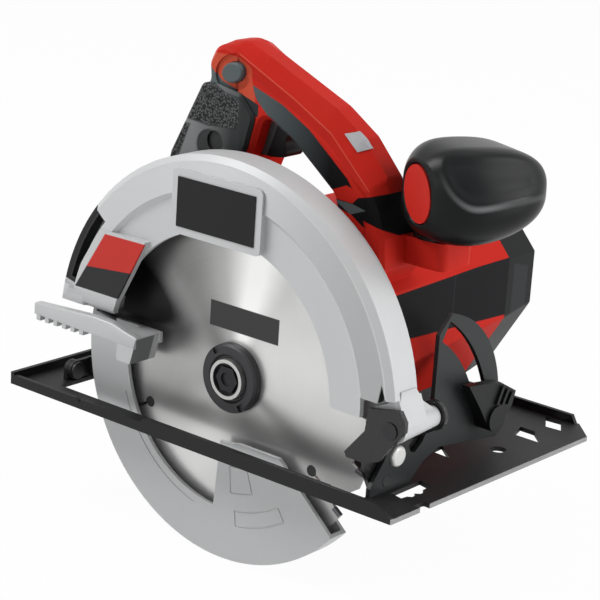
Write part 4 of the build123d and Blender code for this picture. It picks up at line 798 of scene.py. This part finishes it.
class SAW_OT_housing(bpy.types.Operator):
    """Finishes the motor housing with its bare panel, and the end cap."""

    bl_idname = "saw.housing"
    bl_label = "Motor housing"

    def execute(self, context):
        colours = context.scene.saw_colours
        sizes = context.scene.saw_sizes
        base = tuple(colours.red)
        bare = tuple(colours.panel)
        finish = Finish("red_housing", base, 0.5, IOR=1.15)
        _, x, y, z = finish.spot()
        flow = finish.flow(26.0)
        fine = finish.spark(2400.0)
        red = finish.mix(flow, shade(base, 0.9), shade(base, 1.08))
        panel = convex(y, z, PANEL).inside(0.5) * (x - PANEL_X).inside(0.3)
        split = (0.5 - (y - PANEL_SPLIT_Y).size()).inside()
        finish.feed("Base Color", finish.mix(panel, red, finish.mix(split, bare, shade(bare, 2.2))))
        finish.feed("Roughness", flow * 0.12 + fine * 0.06 + 0.44)
        finish.bump(fine * (1 - panel), 0.3, 0.05 * MM)
        cover(["motor_housing"], finish)
        base = tuple(colours.black)
        cap = Finish("black_cap", base, 0.45, IOR=1.2)
        _, x, y, z = cap.spot()
        flow = cap.flow(28.0)
        fine = cap.spark(2600.0)
        black = cap.mix(flow, shade(base, 0.85), shade(base, 1.1))
        facet = convex(y, z, CAP_FACET).inside(1.0) * (x - CAP_FACET_X).inside(0.5)
        cap.feed("Base Color", cap.mix(facet * 0.5, black, shade(base, 5.0)))
        cap.feed("Roughness", flow * 0.12 + fine * 0.06 + 0.33)
        cap.bump(fine, 0.35, 0.05 * MM)
        cover(["end_cap"], cap)
        soften(["motor_housing", "end_cap"], sizes.edge)
        return {"FINISHED"}


class SAW_OT_handle(bpy.types.Operator):
    """Finishes the handle halves with their grey inlay, the grip, trigger and button."""

    bl_idname = "saw.handle"
    bl_label = "Handle"

    def execute(self, context):
        colours = context.scene.saw_colours
        sizes = context.scene.saw_sizes
        black, grey = tuple(colours.black), tuple(colours.grey)
        cover(["handle_right", "handle_left"], self.halves(tuple(colours.red), grey, black))
        cover(["trigger_switch", "cord_gland"], moulded("black_moulding", black, 0.42))
        cover(["lock_button"], moulded("grey_button", grey, 0.4))
        cover(["trigger"], self.trigger(grey, black))
        cover(["rear_grip"], self.grip(tuple(colours.rubber), grey))
        soften(["handle_right", "handle_left", "rear_grip"], sizes.edge)
        soften(["trigger", "lock_button", "cord_gland"], sizes.edge * 0.6)
        return {"FINISHED"}

    @staticmethod
    def halves(base, grey, black):
        """Red moulding with the inlay, the black post, a painted highlight on the button field, and the
        crease of the bar with a painted highlight along it.
        """
        finish = Finish("red_handle", base, 0.5, IOR=1.15)
        _, x, y, z = finish.spot()
        flow = finish.flow(26.0)
        fine = finish.spark(2400.0)
        near = (NEAR_SIDE_Y - y).inside()
        red = finish.mix(flow, shade(base, 0.9), shade(base, 1.08))
        inlay = convex(x, z, INLAY).inside(0.5) * near
        soft_grey = finish.mix(flow, shade(grey, 0.85), shade(grey, 1.1))
        body = finish.mix(inlay, red, finish.mix(x.rise(INLAY_FADE_X, INLAY_FADE_LENGTH), soft_grey, black))
        post = under(x, z, POST_TOP, POST_TOP_SLOPE).inside() * (x - POST_REAR_X).inside(0.5)
        foot = above(x, z, POST_FOOT, POST_FOOT_SLOPE) + (y - POST_FOOT_Y) * POST_FOOT_LEAN
        post = post * foot.inside() * (z - POST_LOW_Z).inside(0.3)
        body = finish.mix(post, body, black)
        body = finish.mix(convex(x, z, FOOT).inside() * near, body, grey)
        wedge = convex(x, z, WEDGE).inside() * near
        body = finish.mix(wedge, body, red)
        # Painted highlight: the field round the lock button is painted a lighter orange red.
        field = convex(x, z, BUTTON_FIELD, 1.5).inside(0.6) * near
        body = finish.mix(field, body, BUTTON_FIELD_HIGHLIGHT)
        hem = under(x, z, HEM, HEM_SLOPES[0]).most(under(x, z, HEM, HEM_SLOPES[1]))
        collar = hem.inside() * (HEM_FRONT_X - x).inside() * near * (z - HEM_LOW_Z).inside()
        collar_grey = finish.mix(x.rise(HEM_FADE_X, HEM_FADE_LENGTH), shade(grey, 1.25), shade(grey, 0.3))
        body = finish.mix(collar, body, collar_grey)
        depth = HANDLE_MIDDLE_Y - (y - HANDLE_MIDDLE_Y).size()
        run, height = slanted(x, depth, z, CREASE_LEVEL, CREASE_LEAN)
        tops = [top - run * fall for top, fall in CREASE_LINES]
        over = height - tops[0].least(tops[1]).least(tops[2])
        bar = (x - CREASE_REAR_X).inside(2.0) * (CREASE_FRONT_X - x).inside(1.0)
        # Painted highlight: a thin pale line along the crease.
        line = (CREASE_WIDTH - over.size()).inside() * bar * (z - CREASE_LOW_Z).inside(0.5)
        finish.feed("Base Color", finish.mix(line * 0.6, body, CREASE_HIGHLIGHT))
        soft = inlay.most(post) * (1 - wedge)
        finish.feed("Roughness", flow * 0.12 + fine * 0.06 + soft * 0.1 + 0.38)
        finish.bump(over.least(0.0).most(CREASE_DROP) * CREASE_SLOPE * bar + fine * 0.015, 1.0, MM)
        return finish

    @staticmethod
    def trigger(grey, black):
        """Trigger with a black face and a grey body."""
        pull = Finish("two_tone_trigger", black, 0.42, Specular_IOR_Level=0.2)
        _, x, _, z = pull.spot()
        fine = pull.spark(2400.0)
        front = ahead(x, z, TRIGGER_FACE, TRIGGER_SLOPE).inside(0.5)
        face = pull.mix(fine, shade(black, 0.8), shade(black, 1.2))
        pull.feed("Base Color", pull.mix(front, shade(grey, 0.9), face))
        pull.feed("Roughness", fine * 0.1 + 0.38)
        pull.bump(fine, 0.3, 0.05 * MM)
        return pull

    @staticmethod
    def grip(rubber, grey):
        """Pebbled rubber with a smooth collar, a smooth saddle and a boss."""
        grip = Finish("pebbled_rubber", rubber, 0.55, Specular_IOR_Level=0.25)
        spot, x, _, z = grip.spot()
        pebble = grip.object.node("TexVoronoi", {"feature": "F1"}, {"Vector": grip.object, "Scale": PEBBLES})
        collar = above(x, z, COLLAR, COLLAR_SLOPE).inside(1.0).most((x - COLLAR_X).inside(1.0))
        rear = ahead(x, z, SADDLE_REAR, SADDLE_REAR_SLOPE).inside(1.0).most((z - SADDLE_REAR[1]).inside(1.0))
        saddle = (SADDLE[1] + (x - SADDLE[0]).size() * SADDLE_SLOPE - z).inside(1.0) * rear
        boss = (BOSS_RADIUS - grip.reach(spot, *BOSS)).inside(1.2)
        smooth = collar.most(saddle)
        height = ((0.6 - pebble) * 4).limit() * (1 - smooth)
        # The collar and the saddle are lighter grey at the rear and darker towards the front; the boss is a
        # darker disc.
        collar_fade = grip.mix(x.rise(COLLAR_FADE_X, COLLAR_FADE_LENGTH), shade(grey, 1.25), shade(grey, 0.12))
        saddle_and_boss = grip.mix(boss, grip.mix(x.rise(SADDLE_FADE_X, SADDLE_FADE_LENGTH), SADDLE_REAR_GREY, SADDLE_FRONT_GREY), BOSS_GREY)
        plain = grip.mix(collar, grip.mix(saddle, shade(rubber, 0.6), saddle_and_boss), collar_fade)
        grip.feed("Base Color", grip.mix(height, plain, PEBBLE_GREY))
        grip.feed("Roughness", 0.62 - smooth * 0.14)
        grip.bump(height * 0.3 - boss * 0.6, 1.0, MM)
        return grip


class SAW_OT_foil(bpy.types.Operator):
    """Models the bare foil patch on the bar and lays it on the moulding."""

    bl_idname = "saw.foil"
    bl_label = "Foil patch"

    def execute(self, context):
        start_clean()
        bpy.ops.mesh.primitive_grid_add(x_subdivisions=30, y_subdivisions=24, size=1)
        patch = context.active_object
        corners = [place(*spot) for spot in FOIL]
        for vertex in patch.data.vertices:
            across, down = vertex.co.x + 0.5, vertex.co.y + 0.5
            low = corners[0].lerp(corners[1], across)
            high = corners[3].lerp(corners[2], across)
            vertex.co = low.lerp(high, down)
        wrap = patch.modifiers.new("lay", "SHRINKWRAP")
        wrap.target = NODES["handle_right"]
        wrap.wrap_method = "NEAREST_SURFACEPOINT"
        wrap.wrap_mode = "OUTSIDE_SURFACE"
        wrap.offset = FOIL_LIFT * MM
        bpy.ops.object.modifier_apply(modifier="lay")
        thick = patch.modifiers.new("thick", "SOLIDIFY")
        thick.thickness = FOIL_THICKNESS * MM
        thick.offset = 0
        bpy.ops.object.modifier_apply(modifier="thick")
        face_outwards()
        new_piece("foil_patch", "saw", metal("bare_foil", FOIL_GREY, 0.5, 0.4, grain=420.0))
        return {"FINISHED"}


class SAW_OT_knob(bpy.types.Operator):
    """Finishes the front knob and its cap, and presses the thumb scoop into the knob."""

    bl_idname = "saw.knob"
    bl_label = "Front knob"

    def execute(self, context):
        colours = context.scene.saw_colours
        sizes = context.scene.saw_sizes
        base = tuple(colours.rubber)
        knob = Finish("soft_knob", base, 0.36, IOR=1.25)
        _, x, y, z = knob.spot()
        flow = knob.flow(24.0)
        fine = knob.spark(1800.0)
        near = (SCOOP_END_Y - y).inside(SCOOP_FADE)
        across, up = slanted(x, y, z, SCOOP_LEVEL, SCOOP_LEAN)
        within = convex(across, up, SCOOP, SCOOP_SOFT) + SCOOP_MARGIN
        hollow = within.rise(0.0, SCOOP_SLOPE).smooth() * near
        # Painted highlight: a pale streak along the scoop's lower edge, strongest at the glint.
        glint = across.lobe(GLINT_AT, GLINT_REACH) * 0.7 + 0.3
        lip_highlight = within.lobe(LIP_AT, LIP_REACH) * near * (LIP_TOP_Z - z).inside(8.0) * glint
        plain = knob.mix(flow * 0.5 + hollow * 0.5, shade(base, 0.9), shade(base, 1.7))
        knob.feed("Base Color", knob.mix(lip_highlight * 0.6, plain, LIP_HIGHLIGHT))
        knob.feed("Roughness", flow * 0.1 + fine * 0.06 + hollow * 0.12 + 0.24)
        knob.bump(fine * 0.02, 1.0, MM)
        cover(["front_knob"], knob)
        self.press_in(context, knob)
        cover(["knob_cap"], moulded("red_cap", tuple(colours.red), 0.38))
        soften(["knob_cap"], sizes.fine_edge)
        return {"FINISHED"}

    @staticmethod
    def press_in(context, finish):
        """Remeshes a copy of the knob and presses the thumb scoop into its near side."""
        start_clean()
        shell = bpy.data.objects.new("scooped_knob", NODES["front_knob"].data.copy())
        context.collection.objects.link(shell)
        shell.select_set(True)
        context.view_layer.objects.active = shell
        bpy.ops.object.mode_set(mode="EDIT")
        bpy.ops.mesh.select_all(action="SELECT")
        bpy.ops.mesh.remove_doubles(threshold=0.001 * MM)
        bpy.ops.object.mode_set(mode="OBJECT")
        grid = shell.modifiers.new("grid", "REMESH")
        grid.mode = "VOXEL"
        grid.voxel_size = KNOB_GRID * MM
        bpy.ops.object.modifier_apply(modifier="grid")
        relax = shell.modifiers.new("relax", "SMOOTH")
        relax.factor = 0.5
        relax.iterations = 4
        bpy.ops.object.modifier_apply(modifier="relax")
        moves = []
        for vertex in shell.data.vertices:
            x, y, z = vertex.co.x / MM, (vertex.co.y - JOINT_Y) / MM, vertex.co.z / MM
            near = min(max((SCOOP_END_Y - y) / SCOOP_FADE + 0.5, 0.0), 1.0)
            facing = min(max(vertex.normal.x - vertex.normal.y, 0.0), 1.0)
            depth = SCOOP_DEPTH * MM * near * facing * scoop(*slanted(x, y, z, SCOOP_LEVEL, SCOOP_LEAN))
            moves.append(vertex.normal * -depth)
        for vertex, move in zip(shell.data.vertices, moves):
            vertex.co += move
        bpy.ops.object.shade_smooth_by_angle(angle=math.radians(40))
        new_piece("scooped_knob", "saw", finish)
        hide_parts("front_knob")


class SAW_OT_shoe(bpy.types.Operator):
    """Paints the stamped shoe, with a painted highlight along its front edge, and the brackets, quadrant and
    levers.
    """

    bl_idname = "saw.shoe"
    bl_label = "Shoe"

    def execute(self, context):
        colours = context.scene.saw_colours
        sizes = context.scene.saw_sizes
        base = tuple(colours.sheet)
        finish = Finish("black_sheet", base, 0.42, Specular_IOR_Level=0.25)
        peel = finish.spark(700.0)
        cloud = finish.flow(20.0)
        # Painted highlight: a pale line along the shoe's front edge.
        edge_highlight = (finish.spot()[1] - SHOE_FRONT_X + EDGE_HIGHLIGHT_DEPTH).inside(0.2)
        paint = finish.mix(cloud, shade(base, 0.75), shade(base, 1.35))
        finish.feed("Base Color", finish.mix(edge_highlight * (cloud * 0.5 + 0.5), paint, EDGE_HIGHLIGHT_GREY))
        finish.feed("Roughness", peel * 0.1 + cloud * 0.16 + 0.4)
        finish.bump(peel, 0.25, 0.06 * MM)
        cover(["shoe", "depth_bracket"], finish)
        enamel = Finish("black_enamel", shade(base, 0.8), 0.3, Specular_IOR_Level=0.5)
        peel = enamel.grit(420.0)
        enamel.feed("Roughness", peel * 0.2 + 0.18)
        enamel.bump(peel, 0.5, 0.2 * MM)
        cover(["front_bracket"], enamel)
        cover(["bevel_quadrant"], self.quadrant(tuple(colours.quadrant)))
        soften(["shoe", "depth_bracket", "front_bracket", "bevel_quadrant"], sizes.fine_edge)
        levers = moulded("black_lever", tuple(colours.black), 0.4)
        cover(["bevel_lever", "depth_lever", "spindle_lock"], levers)
        soften(["bevel_lever", "depth_lever"], sizes.edge * 0.7)
        soften(["spindle_lock"], sizes.fine_edge * 0.4)
        return {"FINISHED"}

    @staticmethod
    def quadrant(base):
        """Grey paint with the plated head of the rivet."""
        finish = Finish("grey_quadrant", base, 0.45, Specular_IOR_Level=0.25)
        _, x, y, z = finish.spot()
        peel = finish.spark(700.0)
        across, up = y - RIVET[0], z - RIVET[1]
        rivet = (RIVET_RADIUS ** 2 - (across * across + up * up)).inside(4.0) * (x - RIVET_X).inside(0.1)
        paint = finish.mix(peel, shade(base, 0.85), shade(base, 1.15))
        finish.feed("Base Color", finish.mix(rivet, paint, RIVET_PLATE))
        finish.feed("Metallic", rivet * 0.5)
        finish.feed("Roughness", peel * 0.14 + 0.36)
        finish.bump(peel, 0.25, 0.06 * MM)
        return finish


class SAW_OT_inner(bpy.types.Operator):
    """Finishes fasteners and the pieces inside."""

    bl_idname = "saw.inner"
    bl_label = "Fasteners and motor"

    def execute(self, context):
        colours = context.scene.saw_colours
        sizes = context.scene.saw_sizes
        plated = ["guard_screws", "end_cap_screws", "knob_bolt", "bevel_bolt", "depth_bolt", "guard_retainer"]
        blackened = ["handle_screws", "depth_pivot_pin", "bevel_pins"]
        machined = [
            "arbor_shaft", "armature_shaft", "output_gear", "arbor_front_bearing", "arbor_rear_bearing",
            "armature_front_bearing", "armature_rear_bearing", "guard_spring", "gear_plate",
        ]
        cover(plated, metal("zinc_plate", tuple(colours.zinc), 0.34, 0.85))
        cover(blackened, metal("black_oxide", BLACK_OXIDE, 0.42, 0.5))
        soften(plated + blackened, sizes.fine_edge)
        cover(machined, metal("machined_steel", MACHINED_STEEL, 0.32, 0.9))
        cover(["armature_core", "stator"], metal("laminations", LAMINATIONS, 0.5, 0.6, (1, 20, 1)))
        cover(["commutator", "brush_holders"], metal("copper", COPPER, 0.35, 0.9))
        cover(["brushes"], metal("carbon", CARBON, 0.6, 0.2))
        cover(["motor_fan"], moulded("fan_moulding", tuple(colours.black), 0.45))
        return {"FINISHED"}


class SAW_OT_stage(bpy.types.Operator):
    """Sets floor, light and camera."""

    bl_idname = "saw.stage"
    bl_label = "Studio"

    def execute(self, context):
        scene = context.scene
        scene.view_settings.view_transform = "Standard"
        self.floor(context)
        self.world(scene)
        self.lamps(scene)
        self.camera(scene)
        return {"FINISHED"}

    @staticmethod
    def shown(tree):
        """1 for the rays that show a thing itself: from the camera, in a reflection or through glass."""
        rays = tree.nodes.new("ShaderNodeLightPath")
        kinds = ("Is Camera Ray", "Is Glossy Ray", "Is Transmission Ray")
        camera, glossy, through = (Paint(tree, rays.outputs[kind]) for kind in kinds)
        return camera.most(glossy).most(through)

    def floor(self, context):
        """Paper that shows nearly white and keeps a faint shadow."""
        start_clean()
        bpy.ops.mesh.primitive_plane_add(size=FLOOR_SIZE, location=(0, 0, CAD_BOX[0].z))
        floor = context.active_object
        floor.name = "floor"
        paper = Finish("paper", PAPER, 0.9)
        paper.feed("Base Color", paper.mix(paper.noise(3.0), PAPER_DIM, PAPER_LIGHT))
        floor.data.materials.append(paper.material)
        glow = paper.object.node("Emission", None, {"Color": WHITE})
        plain = Paint(paper.tree, paper.shader.outputs[0])
        blend = glow.node("MixShader", None, {0: self.shown(paper.tree) * PAPER_SHARE, 1: plain, 2: glow})
        paper.tree.links.new(blend.socket, paper.out.inputs[0])

    def world(self, scene):
        """White backdrop that lights the part only a little."""
        world = bpy.data.worlds.new("studio")
        scene.world = world
        world.use_nodes = True
        tree = world.node_tree
        backdrop = tree.nodes["Background"]
        backdrop.inputs["Color"].default_value = WHITE
        level = self.shown(tree) * (1 - WORLD_LIGHT) + WORLD_LIGHT
        tree.links.new(level.socket, backdrop.inputs["Strength"])

    @staticmethod
    def lamps(scene):
        """Soft lamps that all look at the middle of the part."""
        centre = (CAD_BOX[0] + CAD_BOX[1]) / 2
        for name, offset, size, power in LAMPS:
            light = bpy.data.lights.new(name, "AREA")
            light.size = size
            light.energy = power
            lamp = bpy.data.objects.new(name, light)
            lamp.location = centre + Vector(offset)
            lamp.rotation_euler = (-Vector(offset)).to_track_quat("-Z", "Y").to_euler()
            scene.collection.objects.link(lamp)

    @staticmethod
    def camera(scene):
        """Camera at the photograph's angle, with its roll."""
        turn, rise, roll = (math.radians(angle) for angle in (CAMERA_ROUND, CAMERA_UP, CAMERA_ROLL))
        level = Vector((math.cos(turn), math.sin(turn), 0))
        back = Vector((math.sin(turn) * math.cos(rise), -math.cos(turn) * math.cos(rise), math.sin(rise)))
        high = back.cross(level)
        right = level * math.cos(roll) + high * math.sin(roll)
        up = high * math.cos(roll) - level * math.sin(roll)
        data = bpy.data.cameras.new("camera")
        data.sensor_width = SENSOR_WIDTH
        data.lens = FOCAL_PIXELS * SENSOR_WIDTH / FRAME_PIXELS
        camera = bpy.data.objects.new("camera", data)
        rotation = Matrix((right, up, back)).transposed().to_4x4()
        target = place(GUARD_CENTRE[0], 0, 0) + right * AIM_RIGHT + up * AIM_UP
        camera.matrix_world = Matrix.Translation(target + back * CAMERA_DISTANCE) @ rotation
        scene.collection.objects.link(camera)
        scene.camera = camera


class SAW_PT_panel(bpy.types.Panel):
    """Lists the steps in the sidebar."""

    bl_idname = "SAW_PT_panel"
    bl_label = "Circular saw"
    bl_space_type = "VIEW_3D"
    bl_region_type = "UI"
    bl_category = "Saw"

    def draw(self, context):
        for group in (context.scene.saw_colours, context.scene.saw_sizes):
            for key in group.__annotations__:
                self.layout.prop(group, key)
        for step in STEPS:
            self.layout.operator(step.bl_idname)


STEPS = (
    SAW_OT_casting, SAW_OT_lower_guard, SAW_OT_blade, SAW_OT_tips, SAW_OT_plugs, SAW_OT_housing,
    SAW_OT_handle, SAW_OT_foil, SAW_OT_knob, SAW_OT_shoe, SAW_OT_inner, SAW_OT_stage,
)
CLASSES = (SawColours, SawSizes, *STEPS, SAW_PT_panel)


def register():
    for item in CLASSES:
        bpy.utils.register_class(item)
    bpy.types.Scene.saw_colours = PointerProperty(type=SawColours)
    bpy.types.Scene.saw_sizes = PointerProperty(type=SawSizes)


def unregister():
    del bpy.types.Scene.saw_sizes
    del bpy.types.Scene.saw_colours
    for item in reversed(CLASSES):
        bpy.utils.unregister_class(item)


def main():
    register()
    bpy.ops.saw.casting()
    bpy.ops.saw.lower_guard()
    bpy.ops.saw.blade()
    bpy.ops.saw.tips()
    bpy.ops.saw.plugs()
    bpy.ops.saw.housing()
    bpy.ops.saw.handle()
    bpy.ops.saw.foil()
    bpy.ops.saw.knob()
    bpy.ops.saw.shoe()
    bpy.ops.saw.inner()
    bpy.ops.saw.stage()


if __name__ == "__main__":
    main()
